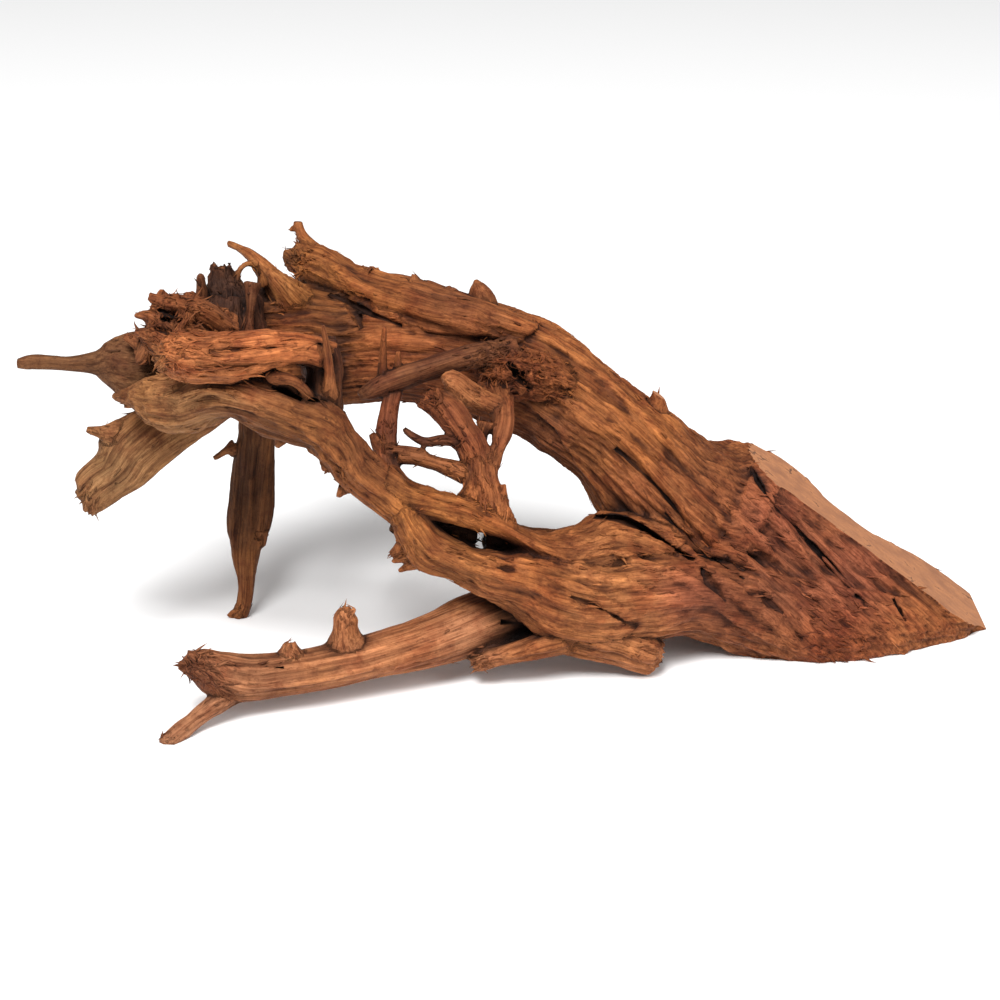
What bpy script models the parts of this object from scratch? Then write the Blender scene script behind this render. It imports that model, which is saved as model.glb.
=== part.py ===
"""Malaysian driftwood: one washed-out root and trunk piece, grown as a single body.

Metres, +Z up, standing on the surface at z = 0, with the origin under the middle of its box.
Azimuth zero looks along +Y at the side that the photograph shows.

Each limb of the wood is a list of stations. A station is
    (ax, ay, bx, by, back, thick)
where a and b are the limb's two edges as the photograph's 1000-pixel frame shows them, back is how far
behind the middle of the piece the limb's core lies, and thick is its size from front to back, both in
millimetres. A loft runs through the stations, and all lofts are fused into one skin.
"""

import math

import bmesh
import bpy
import numpy as np
from mathutils import Vector
from mathutils.bvhtree import BVHTree

# The stated size of the piece: 25 inches wide, 11 deep and 10 high
WIDTH, DEPTH, HEIGHT = 0.635, 0.279, 0.254

# The photograph's view: its distance, its height above level, the point at the frame's middle, and the
# size there of one of its 1000 pixels, which lets the piece's two ends just fill the width
VIEW_DISTANCE = 1.5
VIEW_RISE = math.radians(22.5)
AIM = Vector((-0.0132, 0.0, 0.105))
FRAME_MIDDLE = 500.0
PIXEL = 0.000653
RIGHT = Vector((1.0, 0.0, 0.0))
AHEAD = Vector((0.0, math.cos(VIEW_RISE), -math.sin(VIEW_RISE)))
UP = RIGHT.cross(AHEAD)
EYE = AIM - AHEAD * VIEW_DISTANCE

MM = 0.001
STEP = 4.0 * MM
SIDE = 3.0 * MM
THINNEST = 3.6 * MM
GROWN = 0.7 * MM
DEPTH_STEP = 22 * MM
FLUTE_PITCH = 10.0 * MM
FLUTE_SHARE = 0.5
VOXEL = 1.35 * MM
TRIANGLES = 11200

WOOD_BROWN = (0.30, 0.135, 0.062, 1.0)

# The trunk, from its buried left end over the arch and down to the right tip
TRUNK = [
    (176, 322, 180, 388, 26, 36),
    (200, 300, 205, 394, 42, 46),
    (232, 290, 236, 396, 60, 50),
    (265, 286, 268, 400, 74, 54),
    (302, 284, 303, 402, 84, 58),
    (345, 290, 338, 403, 86, 60),
    (385, 288, 378, 401, 82, 64),
    (430, 292, 422, 402, 78, 66),
    (470, 297, 455, 410, 74, 68),
    (504, 305, 482, 420, 70, 70),
    (532, 315, 508, 430, 64, 70),
    (562, 331, 533, 443, 58, 72),
    (602, 362, 558, 459, 50, 74),
    (632, 389, 580, 477, 44, 78),
    (667, 413, 596, 506, 40, 86),
    (709, 442, 622, 556, 42, 94),
    (748, 446, 650, 600, 48, 110),
    (800, 453, 698, 634, 45, 104),
    (846, 480, 748, 654, 31, 60),
    (896, 516, 808, 660, 30, 56),
    (944, 548, 872, 656, 42, 84),
    (980, 578, 930, 644, 48, 78),
    (1004, 600, 968, 636, 48, 54),
    (1020, 616, 998, 630, 46, 26),
]

# The front limb up to the slot, from its pointed tip in the left crown
FRONT_LIMB = [
    (114, 394, 116, 400, -30, 6),
    (135, 386, 133, 408, -36, 16),
    (160, 376, 158, 427, -42, 30),
    (195, 370, 192, 433, -48, 40),
    (228, 368, 224, 418, -56, 42),
    (262, 370, 252, 430, -62, 42),
    (298, 382, 284, 441, -64, 40),
    (327, 396, 311, 449, -64, 38),
    (340, 416, 325, 463, -63, 34),
    (359, 445, 338, 483, -60, 32),
    (386, 467, 359, 499, -57, 32),
    (412, 486, 382, 516, -55, 33),
]

# Above the slot the limb's upper strand carries the twigs
UPPER_STRAND = [
    (388, 466, 372, 500, -56, 28),
    (410, 484, 400, 513, -55, 28),
    (434, 491, 428, 518, -54, 28),
    (462, 497, 455, 525, -52, 29),
    (490, 510, 481, 532, -50, 30),
    (515, 524, 507, 540, -46, 32),
    (540, 534, 530, 560, -40, 36),
    (575, 526, 562, 580, -30, 44),
    (606, 512, 596, 590, -18, 52),
    (655, 520, 640, 610, -2, 56),
]

# Under the slot the lower strand thickens towards the foot
LOWER_STRAND = [
    (400, 484, 394, 517, -56, 26),
    (420, 506, 402, 542, -58, 30),
    (438, 526, 418, 565, -58, 34),
    (472, 545, 448, 576, -57, 38),
    (500, 550, 472, 590, -55, 42),
    (530, 549, 504, 606, -52, 46),
    (562, 550, 534, 630, -46, 50),
    (602, 550, 576, 648, -40, 52),
    (644, 552, 628, 642, -32, 50),
    (688, 556, 680, 632, -20, 48),
    (724, 560, 722, 640, -8, 44),
]

# Thin wood that closes most of the slot from behind
SLOT_BACKS = [
    [(398, 494, 390, 530, -44, 14), (432, 505, 424, 548, -42, 14), (473, 516, 468, 558, -40, 12)],
    [(485, 518, 482, 566, -38, 12), (520, 526, 512, 576, -36, 14), (560, 530, 548, 586, -30, 16)],
]

# The base swells forward at its foot, where it meets the ground
BASE_SKIRT = [
    (606, 556, 604, 634, -24, 40),
    (662, 552, 658, 626, -16, 44),
    (706, 556, 702, 638, -10, 46),
    (745, 560, 742, 654, -4, 54),
    (785, 566, 782, 668, 2, 62),
    (828, 574, 828, 674, 4, 64),
    (868, 582, 872, 668, 10, 60),
    (908, 590, 916, 658, 20, 52),
    (946, 598, 956, 646, 32, 42),
    (970, 606, 974, 630, 44, 26),
]

GROUND_BRANCH = [
    (560, 560, 566, 620, -12, 34),
    (520, 572, 528, 634, -24, 36),
    (482, 590, 502, 646, -36, 36),
    (452, 602, 466, 659, -48, 36),
    (430, 613, 432, 667, -56, 35),
    (400, 624, 390, 675, -64, 34),
    (364, 636, 352, 683, -72, 33),
    (326, 645, 324, 689, -79, 32),
    (290, 652, 290, 695, -87, 32),
    (252, 656, 251, 701, -95, 32),
    (225, 653, 225, 700, -101, 31),
    (204, 650, 206, 692, -106, 28),
    (190, 653, 195, 678, -109, 20),
]

# The foot's blunt toe, which reaches the ground
TOE = [
    (560, 600, 564, 652, -46, 36),
    (600, 616, 604, 660, -44, 36),
    (634, 626, 636, 670, -42, 32),
    (650, 632, 649, 672, -40, 24),
    (657, 643, 655, 664, -39, 14),
]

HEEL = [
    (472, 656, 476, 670, -60, 12),
    (486, 648, 488, 669, -58, 20),
    (508, 642, 510, 663, -55, 28),
    (534, 632, 536, 658, -50, 36),
    (575, 620, 575, 652, -44, 40),
]

FOOT_TWIG = [
    (222, 684, 244, 700, -104, 16),
    (205, 700, 224, 713, -112, 14),
    (188, 714, 203, 725, -121, 12),
    (172, 727, 188, 737, -130, 11),
    (157, 740, 168, 749, -140, 9),
]

LEFT_BLADE = [
    (190, 398, 242, 406, 6, 30),
    (152, 406, 216, 427, 0, 24),
    (120, 420, 188, 447, -6, 20),
    (101, 437, 163, 467, -10, 18),
    (98, 453, 143, 485, -12, 17),
    (80, 470, 122, 497, -14, 16),
    (76, 482, 106, 508, -16, 15),
    (84, 503, 94, 515, -18, 11),
]

HANGING_ROOT = [
    (240, 395, 276, 395, 64, 24),
    (239, 432, 275, 434, 60, 18),
    (236, 457, 274, 462, 58, 15),
    (231, 482, 274, 484, 56, 14),
    (228, 505, 273, 504, 54, 13),
    (227, 528, 270, 524, 52, 12),
    (231, 546, 261, 545, 50, 11),
    (234, 563, 257, 560, 48, 11),
    (238, 582, 254, 582, 46, 10),
    (237, 600, 252, 600, 45, 9),
    (231, 619, 246, 621, 44, 8),
]

LEFT_SPIKE = [
    (14, 361, 15, 367, -14, 5),
    (32, 355, 29, 369, -12, 9),
    (50, 356, 49, 369, -10, 9),
    (70, 357, 67, 370, -8, 9),
    (96, 351, 92, 373, -5, 13),
    (108, 341, 103, 380, -3, 20),
    (130, 332, 124, 398, 0, 30),
    (156, 330, 152, 404, 6, 38),
]

# The short broken log that lies across the front, and the knot that carries it
STUB_LOG = [
    (160, 340, 165, 372, -83, 24),
    (175, 332, 179, 381, -81, 34),
    (206, 330, 206, 384, -77, 38),
    (235, 330, 233, 382, -74, 38),
    (265, 330, 262, 374, -70, 35),
    (298, 332, 294, 364, -65, 32),
    (322, 335, 318, 370, -58, 32),
    (340, 346, 334, 384, -44, 30),
]
STUB_KNOT = [
    (314, 338, 338, 338, -46, 20),
    (309, 358, 341, 360, -48, 34),
    (306, 384, 341, 388, -52, 38),
    (304, 408, 342, 414, -56, 34),
]

# The broken spur that runs along the trunk's back and ends in the top shard
SPUR = [
    (540, 324, 512, 352, 56, 30),
    (490, 304, 470, 344, 60, 40),
    (452, 290, 432, 343, 68, 44),
    (417, 281, 398, 332, 80, 42),
    (386, 275, 365, 320, 94, 40),
    (358, 268, 338, 304, 107, 38),
    (336, 252, 318, 294, 117, 36),
    (315, 246, 303, 286, 125, 32),
    (300, 242, 290, 268, 129, 22),
]
TOP_SHARD = [
    (330, 254, 316, 266, 122, 14),
    (314, 240, 304, 250, 128, 10),
    (305, 230, 298, 238, 134, 7),
    (301, 218, 294, 223, 137, 6),
]
SHARD_HOOK = [
    (302, 223, 300, 230, 136, 5),
    (290, 227, 291, 231, 136, 3),
]

# The crown of torn wood at the left end
DARK_BLOCK = [
    (196, 352, 270, 352, 40, 44),
    (200, 318, 264, 318, 44, 38),
    (204, 300, 260, 300, 50, 30),
    (207, 288, 244, 287, 51, 22),
    (209, 278, 236, 277, 52, 18),
    (212, 269, 231, 268, 52, 12),
]
LUMP_CORE = [
    (232, 316, 226, 378, 10, 42),
    (200, 306, 196, 372, 4, 42),
    (172, 312, 170, 366, 0, 34),
    (156, 322, 154, 356, -4, 22),
]
LUMP_STRANDS = [
    [(226, 318, 218, 336, 0, 22), (202, 302, 194, 322, -12, 20), (178, 295, 176, 314, -18, 17),
     (162, 296, 163, 309, -20, 12), (150, 294, 150, 301, -20, 6)],
    [(214, 332, 206, 352, -10, 22), (184, 318, 178, 340, -22, 20), (160, 312, 156, 330, -24, 16),
     (146, 310, 145, 321, -22, 10), (135, 313, 136, 318, -20, 5)],
    [(206, 350, 196, 372, -16, 24), (174, 334, 168, 360, -26, 22), (154, 328, 150, 350, -26, 17),
     (137, 330, 138, 337, -22, 6)],
    [(200, 300, 184, 302, -6, 16), (192, 318, 176, 322, -24, 14), (182, 340, 166, 344, -30, 14),
     (172, 360, 154, 362, -26, 16)],
    [(168, 296, 158, 298, -4, 12), (160, 314, 148, 316, -22, 11), (158, 332, 145, 334, -26, 12),
     (152, 352, 134, 356, -20, 14)],
]
CROWN_BLADE = [
    (229, 240, 227, 246, 97, 4),
    (241, 245, 238, 252, 91, 6),
    (254, 250, 247, 261, 83, 9),
    (268, 260, 255, 274, 77, 12),
    (281, 271, 264, 289, 74, 17),
    (295, 281, 270, 306, 74, 22),
    (314, 290, 280, 334, 82, 28),
]
CROWN_HORN = [(195, 304, 209, 304, 40, 9), (197, 290, 206, 290, 38, 7), (197, 276, 203, 276, 36, 5)]
CROWN_STRUT = [
    (244, 281, 261, 283, 34, 10),
    (246, 292, 258, 292, 32, 8),
    (247, 304, 255, 304, 29, 7),
    (246, 318, 253, 318, 28, 7),
    (243, 336, 254, 336, 26, 10),
]
CROWN_RING = [
    (234, 290, 241, 288, 48, 6),
    (235, 276, 241, 275, 50, 6),
    (238, 267, 243, 271, 52, 5),
    (246, 261, 248, 267, 56, 5),
    (257, 263, 254, 269, 60, 6),
    (264, 272, 257, 275, 62, 8),
    (268, 286, 258, 285, 62, 9),
]
SMALL_HORN = [(221, 334, 234, 334, 8, 9), (224, 323, 231, 323, 6, 6), (226, 311, 228, 311, 4, 3)]
FLAKE = [
    (272, 298, 280, 294, 46, 4),
    (282, 314, 291, 306, 40, 5),
    (288, 328, 300, 322, 38, 6),
    (292, 342, 306, 338, 50, 8),
]

# The thin dark stub in the arch and the crusted knot that it grew from
THIN_STUB = [
    (512, 336, 516, 372, 30, 20),
    (470, 345, 475, 368, 16, 17),
    (430, 357, 433, 379, 8, 16),
    (395, 368, 398, 391, 0, 16),
    (373, 379, 373, 399, -4, 14),
    (359, 391, 362, 399, -6, 6),
]
CRUSTED_KNOT = [
    (476, 354, 480, 384, 24, 22),
    (498, 342, 502, 392, 24, 32),
    (526, 347, 522, 396, 26, 34),
    (552, 356, 547, 398, 30, 30),
    (574, 372, 564, 398, 36, 20),
]

# The twigs that climb from the front limb to the underside of the trunk
TWIG_STEM = [
    (446, 502, 520, 526, -50, 22),
    (460, 492, 510, 508, -47, 18),
    (466, 478, 499, 484, -42, 15),
    (466, 460, 495, 464, -36, 13),
]
LEFT_FORK = [
    (466, 474, 494, 464, -38, 13),
    (460, 454, 487, 442, -32, 12),
    (448, 434, 474, 424, -27, 11),
    (436, 419, 464, 406, -22, 11),
    (425, 410, 452, 394, -18, 10),
    (417, 405, 440, 390, -16, 7),
]
RIGHT_FORK = [
    (476, 474, 498, 472, -36, 12),
    (488, 450, 506, 448, -28, 11),
    (493, 430, 514, 428, -18, 12),
    (492, 412, 516, 411, -6, 12),
    (485, 396, 512, 398, 8, 12),
    (482, 378, 510, 378, 26, 14),
]
PALE_STUB = [
    (441, 376, 446, 388, -16, 8),
    (452, 370, 452, 396, -14, 12),
    (470, 380, 463, 407, -10, 12),
    (486, 391, 478, 411, -6, 11),
    (506, 400, 496, 416, -2, 10),
]
LEFT_ARM = [
    (388, 380, 406, 384, 4, 11),
    (381, 402, 401, 402, -8, 10),
    (378, 420, 399, 420, -16, 10),
    (376, 438, 399, 438, -24, 11),
    (377, 455, 398, 455, -32, 11),
    (384, 472, 402, 469, -40, 12),
    (395, 488, 412, 479, -48, 14),
    (412, 502, 430, 486, -52, 15),
]
ARM_BUMP = [(380, 458, 389, 452, -31, 8), (372, 448, 382, 440, -29, 6), (370, 436, 375, 434, -28, 4)]
UPPER_CROSSPIECE = [
    (480, 438, 480, 452, -31, 9),
    (460, 435, 461, 447, -30, 9),
    (440, 435, 441, 446, -30, 8),
    (425, 437, 425, 447, -30, 8),
    (413, 431, 411, 440, -30, 7),
    (405, 426, 404, 434, -30, 6),
]
LOWER_CROSSPIECE = [
    (486, 472, 474, 492, -40, 12),
    (462, 463, 455, 480, -39, 10),
    (441, 458, 437, 470, -38, 9),
    (421, 453, 418, 465, -37, 9),
    (402, 452, 400, 463, -36, 8),
]
LINK = [(382, 446, 382, 458, -29, 9), (402, 446, 402, 456, -32, 8), (426, 450, 424, 461, -37, 8)]

# Strands that stand out of the wood's seen surface: width in pixels, height in millimetres, and the line
STRANDS = [
    (15, 4.0, [(560, 408), (586, 421), (617, 434), (648, 465), (675, 496), (706, 531), (737, 558),
               (790, 589)]),
    (12, 3.0, [(640, 438), (675, 478), (710, 509), (737, 536), (768, 556), (804, 576)]),
    (16, 4.0, [(573, 478), (604, 508), (648, 518), (675, 544), (710, 575), (746, 602), (781, 628),
               (806, 650)]),
    (14, 3.5, [(600, 545), (648, 566), (675, 576), (701, 590), (728, 611), (762, 632), (792, 652)]),
    (13, 3.5, [(737, 462), (754, 492), (772, 518), (794, 544), (812, 572), (838, 604), (872, 630)]),
    (12, 3.0, [(780, 506), (812, 534), (843, 567), (872, 590), (904, 616)]),
    (10, 2.5, [(820, 526), (851, 552), (887, 580), (927, 612), (948, 630)]),
    (14, 3.0, [(801, 580), (804, 614), (814, 645), (832, 660)]),
    (13, 3.0, [(690, 470), (722, 500), (752, 536), (784, 566)]),
    (12, 3.0, [(324, 272), (348, 293), (383, 307), (410, 324), (432, 342)]),
    (14, 4.0, [(314, 252), (341, 272), (369, 292), (400, 305), (434, 314), (471, 328), (500, 336)]),
    (12, 3.0, [(365, 284), (400, 292), (434, 302), (471, 308), (500, 320)]),
    (16, 3.0, [(350, 346), (372, 342), (392, 340), (420, 344), (450, 342)]),
    (14, 3.0, [(350, 372), (390, 366), (430, 378), (470, 392)]),
    (14, 3.5, [(499, 318), (533, 334), (570, 355), (598, 374), (626, 404), (660, 440), (690, 462)]),
    (11, 3.0, [(560, 378), (590, 396), (622, 420), (652, 448)]),
    (13, 3.0, [(530, 404), (560, 430), (585, 464), (602, 492)]),
    (13, 3.0, [(135, 394), (170, 396), (215, 391), (258, 404), (300, 425), (332, 452), (362, 480),
               (400, 508)]),
    (10, 2.5, [(185, 414), (222, 404), (270, 418), (310, 442), (338, 474)]),
    (10, 2.5, [(345, 428), (374, 460), (404, 488), (440, 504), (490, 520), (540, 548), (590, 566)]),
    (13, 3.0, [(404, 534), (432, 552), (470, 566), (522, 582), (580, 612), (630, 648)]),
    (11, 3.0, [(446, 548), (492, 562), (540, 576), (600, 598), (646, 622)]),
    (11, 2.5, [(548, 560), (592, 574), (640, 590), (680, 612)]),
    (9, 2.0, [(212, 668), (270, 670), (330, 662), (390, 648), (450, 630)]),
    (9, 2.0, [(216, 686), (290, 684), (360, 670), (430, 654)]),
    (10, 2.5, [(165, 346), (220, 342), (280, 341), (322, 343)]),
    (10, 2.5, [(165, 362), (220, 360), (280, 354), (316, 356)]),
    (9, 2.0, [(186, 376), (236, 373), (288, 360)]),
    (9, 2.0, [(206, 416), (156, 438), (116, 474), (92, 502)]),
    (8, 2.0, [(168, 414), (126, 440), (104, 470)]),
    (8, 2.0, [(250, 430), (252, 480), (250, 530), (246, 580)]),
]

# Cracks and hollows sunk in the seen surface: width in pixels, depth in millimetres, and the line
CRACKS = [
    (8, 16.0, [(594, 516), (620, 518), (640, 526), (660, 539), (692, 559)]),
    (6, 8.0, [(750, 466), (767, 497), (797, 530), (830, 562), (854, 588)]),
    (6, 6.0, [(664, 500), (695, 538), (730, 568), (768, 592)]),
    (6, 6.0, [(700, 486), (728, 520), (756, 548), (790, 578), (822, 610)]),
    (11, 9.0, [(664, 578), (690, 600), (720, 616), (750, 636)]),
    (6, 5.0, [(846, 590), (870, 612), (892, 628)]),
    (8, 14.0, [(509, 362), (520, 376), (531, 391)]),
    (10, 16.0, [(272, 386), (285, 391), (302, 400)]),
    (16, 16.0, [(309, 399), (328, 403)]),
    (9, 6.0, [(304, 349), (322, 344)]),
    (18, 20.0, [(500, 622), (524, 624)]),
    (9, 14.0, [(160, 318), (181, 321)]),
    (8, 8.0, [(330, 293), (350, 303), (372, 314), (402, 326)]),
    (13, 10.0, [(346, 303), (356, 315), (361, 328)]),
    (5, 4.0, [(540, 350), (575, 374), (606, 404), (640, 436)]),
    (6, 6.0, [(540, 414), (566, 446), (588, 482)]),
    (5, 4.0, [(210, 352), (250, 349), (296, 348)]),
    (5, 4.0, [(196, 368), (236, 366), (276, 360)]),
    (5, 4.0, [(230, 660), (280, 662), (340, 656)]),
    (6, 5.0, [(560, 590), (600, 608), (640, 634)]),
    (5, 4.0, [(392, 488), (420, 500), (452, 508)]),
    (14, 5.0, [(300, 314), (330, 312), (350, 322)]),
]

# Short knobs and thorns, each with stations from its root to its tip
KNOBS = [
    [(322, 650, 366, 642, -74, 24), (332, 632, 358, 630, -74, 18), (332, 617, 358, 618, -74, 15),
     (338, 610, 350, 611, -74, 8)],
    [(272, 662, 312, 660, -86, 24), (280, 650, 302, 650, -84, 14), (285, 644, 296, 645, -83, 7)],
    [(470, 300, 502, 312, 70, 18), (472, 288, 492, 292, 70, 12), (475, 283, 484, 286, 70, 6)],
    [(640, 406, 668, 424, 40, 14), (652, 396, 664, 400, 38, 7), (653, 385, 656, 386, 37, 3)],
    [(838, 520, 856, 530, 58, 12), (840, 512, 850, 515, 60, 5)],
    [(922, 572, 940, 582, 66, 10), (928, 564, 934, 566, 67, 4)],
    [(232, 440, 234, 456, 58, 10), (226, 447, 228, 453, 55, 7), (213, 457, 215, 460, 52, 3)],
    [(254, 530, 268, 530, 50, 8), (256, 546, 265, 547, 50, 5)],
    [(124, 418, 110, 446, -8, 12), (104, 426, 100, 438, -10, 8), (88, 427, 89, 433, -10, 4)],
    [(146, 336, 136, 350, -16, 10), (128, 334, 124, 340, -14, 4)],
    [(148, 392, 132, 400, -20, 14), (126, 404, 120, 408, -22, 4)],
    [(156, 416, 142, 424, -20, 14), (134, 430, 128, 432, -20, 5)],
    [(266, 370, 274, 384, -76, 8), (288, 374, 290, 384, -82, 7), (304, 384, 302, 392, -80, 7),
     (314, 396, 306, 402, -72, 8)],
    [(377, 374, 387, 374, 0, 8), (380, 352, 386, 352, 0, 6), (383, 328, 386, 328, -2, 4)],
    [(393, 372, 402, 372, 4, 8), (397, 352, 400, 352, 4, 4)],
    [(476, 420, 496, 424, -18, 8), (478, 432, 488, 434, -20, 7), (481, 444, 486, 444, -22, 5)],
    [(322, 452, 334, 466, -61, 10), (323, 470, 327, 470, -60, 3)],
    [(341, 478, 354, 492, -59, 10), (336, 496, 341, 497, -58, 3)],
    [(368, 500, 386, 512, -56, 10), (376, 513, 381, 513, -56, 3)],
    [(276, 432, 288, 442, -59, 8), (275, 447, 279, 448, -58, 3)],
    [(404, 536, 406, 552, -58, 12), (390, 552, 392, 556, -56, 3)],
    [(410, 548, 414, 562, -58, 12), (392, 560, 394, 563, -57, 3)],
    [(414, 556, 424, 568, -58, 12), (398, 570, 401, 572, -57, 3)],
    [(494, 502, 510, 506, -46, 8), (500, 494, 507, 496, -46, 5), (503, 485, 505, 485, -46, 2.5)],
    [(320, 396, 338, 396, -66, 8), (325, 372, 333, 372, -72, 4), (324, 348, 329, 348, -74, 3),
     (322, 326, 324, 326, -72, 2)],
    [(358, 280, 388, 284, 98, 12), (366, 269, 378, 271, 98, 7)],
    [(404, 290, 430, 294, 80, 12), (410, 280, 422, 281, 80, 6), (412, 275, 416, 275, 80, 3)],
    [(438, 296, 466, 300, 74, 12), (447, 289, 456, 290, 74, 5)],
    [(250, 262, 262, 262, 50, 6), (248, 246, 250, 246, 46, 2.5)],
    [(287, 266, 302, 276, 130, 12), (285, 254, 291, 258, 130, 6)],
]

# The wood's hidden side: back roots and a brace between the front and the back limb
BACK_ROOTS = [
    [(690, 500, 660, 560, 62, 40), (720, 520, 690, 576, 78, 34), (770, 540, 745, 590, 84, 28),
     (820, 560, 800, 596, 78, 20), (862, 566, 850, 590, 66, 12)],
    [(560, 360, 540, 400, 82, 30), (610, 392, 590, 430, 84, 30), (660, 430, 640, 470, 82, 26),
     (700, 460, 684, 492, 78, 16)],
]
BRACE = [
    (306, 352, 344, 352, -44, 30),
    (309, 357, 346, 357, -8, 30),
    (312, 363, 352, 363, 26, 32),
    (312, 366, 354, 366, 58, 36),
]

# The saw cut across the base: two points on its front edge, as pixels with their depth
SAW_LINE = ((768, 488, 0), (965, 623, 3))

# Torn ends: the middle and depth of each, the way its splinters point, and their spread, count and length
FRAYS = [
    (163, 358, -82, 188, 45, 9, 10),
    (196, 664, -108, 176, 50, 9, 9),
    (478, 661, -60, 190, 40, 5, 6),
    (298, 256, 128, 170, 50, 7, 8),
    (221, 274, 52, 90, 50, 6, 7),
    (86, 495, -17, 215, 40, 6, 6),
    (490, 364, 0, 100, 120, 12, 10),
    (538, 372, 0, 60, 120, 8, 9),
    (434, 399, -18, 150, 60, 6, 9),
    (346, 614, -74, 80, 50, 4, 6),
    (240, 612, 44, 250, 40, 4, 7),
]

LIMBS = {
    "trunk": (TRUNK, 3.2),
    "front_limb": (FRONT_LIMB, 1.6),
    "upper_strand": (UPPER_STRAND, 1.4),
    "lower_strand": (LOWER_STRAND, 1.8),
    "ground_branch": (GROUND_BRANCH, 1.2),
    "base_skirt": (BASE_SKIRT, 2.4),
    "toe": (TOE, 1.2),
    "heel": (HEEL, 1.2),
    "foot_twig": (FOOT_TWIG, 0.6),
    "left_blade": (LEFT_BLADE, 1.0),
    "hanging_root": (HANGING_ROOT, 1.0),
    "left_spike": (LEFT_SPIKE, 1.0),
    "stub_log": (STUB_LOG, 1.8),
    "stub_knot": (STUB_KNOT, 2.0),
    "spur": (SPUR, 2.4),
    "top_shard": (TOP_SHARD, 0.6),
    "shard_hook": (SHARD_HOOK, 0.2),
    "dark_block": (DARK_BLOCK, 2.0),
    "lump_core": (LUMP_CORE, 3.0),
    "crown_blade": (CROWN_BLADE, 1.0),
    "crown_horn": (CROWN_HORN, 0.4),
    "crown_strut": (CROWN_STRUT, 0.4),
    "crown_ring": (CROWN_RING, 0.2),
    "small_horn": (SMALL_HORN, 0.4),
    "flake": (FLAKE, 0.3),
    "thin_stub": (THIN_STUB, 0.8),
    "crusted_knot": (CRUSTED_KNOT, 2.4),
    "twig_stem": (TWIG_STEM, 1.0),
    "left_fork": (LEFT_FORK, 0.6),
    "right_fork": (RIGHT_FORK, 0.6),
    "pale_stub": (PALE_STUB, 0.6),
    "left_arm": (LEFT_ARM, 0.7),
    "arm_bump": (ARM_BUMP, 0.3),
    "upper_crosspiece": (UPPER_CROSSPIECE, 0.4),
    "lower_crosspiece": (LOWER_CROSSPIECE, 0.5),
    "link": (LINK, 0.4),
    "brace": (BRACE, 2.0),
}

# The sets of like limbs, each with the depth of its flutes in millimetres
SETS = (
    (LUMP_STRANDS, 1.2),
    (SLOT_BACKS, 0.5),
    (BACK_ROOTS, 2.0),
    (KNOBS, 0.3),
)


def ray_through(px, py):
    """The step from the eye to the picture plane at the aim, through one pixel."""
    return AHEAD * VIEW_DISTANCE + RIGHT * (px - FRAME_MIDDLE) * PIXEL + UP * (FRAME_MIDDLE - py) * PIXEL


def place(px, py, back):
    """The point that the photograph shows at a pixel, at a depth behind the middle in metres."""
    ray = ray_through(px, py)
    return EYE + ray * ((back - EYE.y) / ray.y)


def pixel_at(point):
    """The size of one pixel at a point's distance."""
    return PIXEL * (point - EYE).dot(AHEAD) / VIEW_DISTANCE


def section(station):
    """Middle, half width, half thickness and across direction of one station."""
    ax, ay, bx, by, back, thick = station
    middle = place((ax + bx) / 2, (ay + by) / 2, back * MM)
    across = RIGHT * (bx - ax) - UP * (by - ay)
    wide = across.length * pixel_at(middle) / 2 + GROWN
    return (*middle, wide, thick * MM / 2 + GROWN, *across.normalized())


def traced_sections(line, width, deep, sink):
    """Sections along a line of pixels, laid on the seen surface and thinned towards both ends. Where the
    surface steps to another limb the line breaks, and its longest run is kept."""
    made = []
    for i, (px, py) in enumerate(line):
        ray = ray_through(px, py).normalized()
        point = skin.ray_cast(EYE, ray)[0]
        if point is None:
            continue
        before, after = line[max(i - 1, 0)], line[min(i + 1, len(line) - 1)]
        run = Vector((after[0] - before[0], before[1] - after[1])).normalized()
        slim = 0.35 if i in (0, len(line) - 1) else 1.0
        across = RIGHT * run.y - UP * run.x
        row = (*(point + ray * sink), width * slim * pixel_at(point) / 2, deep * slim, *across)
        if made and abs(made[-1][-1][1] - row[1]) < DEPTH_STEP:
            made[-1].append(row)
        else:
            made.append([row])
    return max(made, key=len)


def smooth_route(rows):
    """Rows resampled about every STEP on Catmull-Rom curves through the stations."""
    rows = np.array(rows)
    ends = np.vstack([2 * rows[0] - rows[1], rows, 2 * rows[-1] - rows[-2]])
    made = []
    for before, start, stop, after in zip(ends, ends[1:], ends[2:], ends[3:]):
        count = max(2, round(float(np.linalg.norm(stop[:3] - start[:3])) / STEP))
        for t in np.arange(count) / count:
            made.append(0.5 * (2 * start + (stop - before) * t
                               + (2 * before - 5 * start + 4 * stop - after) * t ** 2
                               + (3 * start - before - 3 * stop + after) * t ** 3))
    made.append(rows[-1])
    return np.array(made)


def flutes(around, along, count, rng):
    """Relief of the grain, 1 on a crest and 0 in a valley, its lines wandering along the limb."""
    phase = rng.uniform(0, 2 * math.pi, 4)
    wander = 0.30 * np.sin(around + phase[0] + along * 9)
    wander += 0.16 * np.sin(2 * around + phase[1] - along * 14)
    wander += 0.07 * np.sin(5 * around + phase[2] + along * 31)
    turned = around + wander + along * 1.4
    return np.abs(np.sin(0.5 * count * turned + phase[3])) ** 0.8


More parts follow.
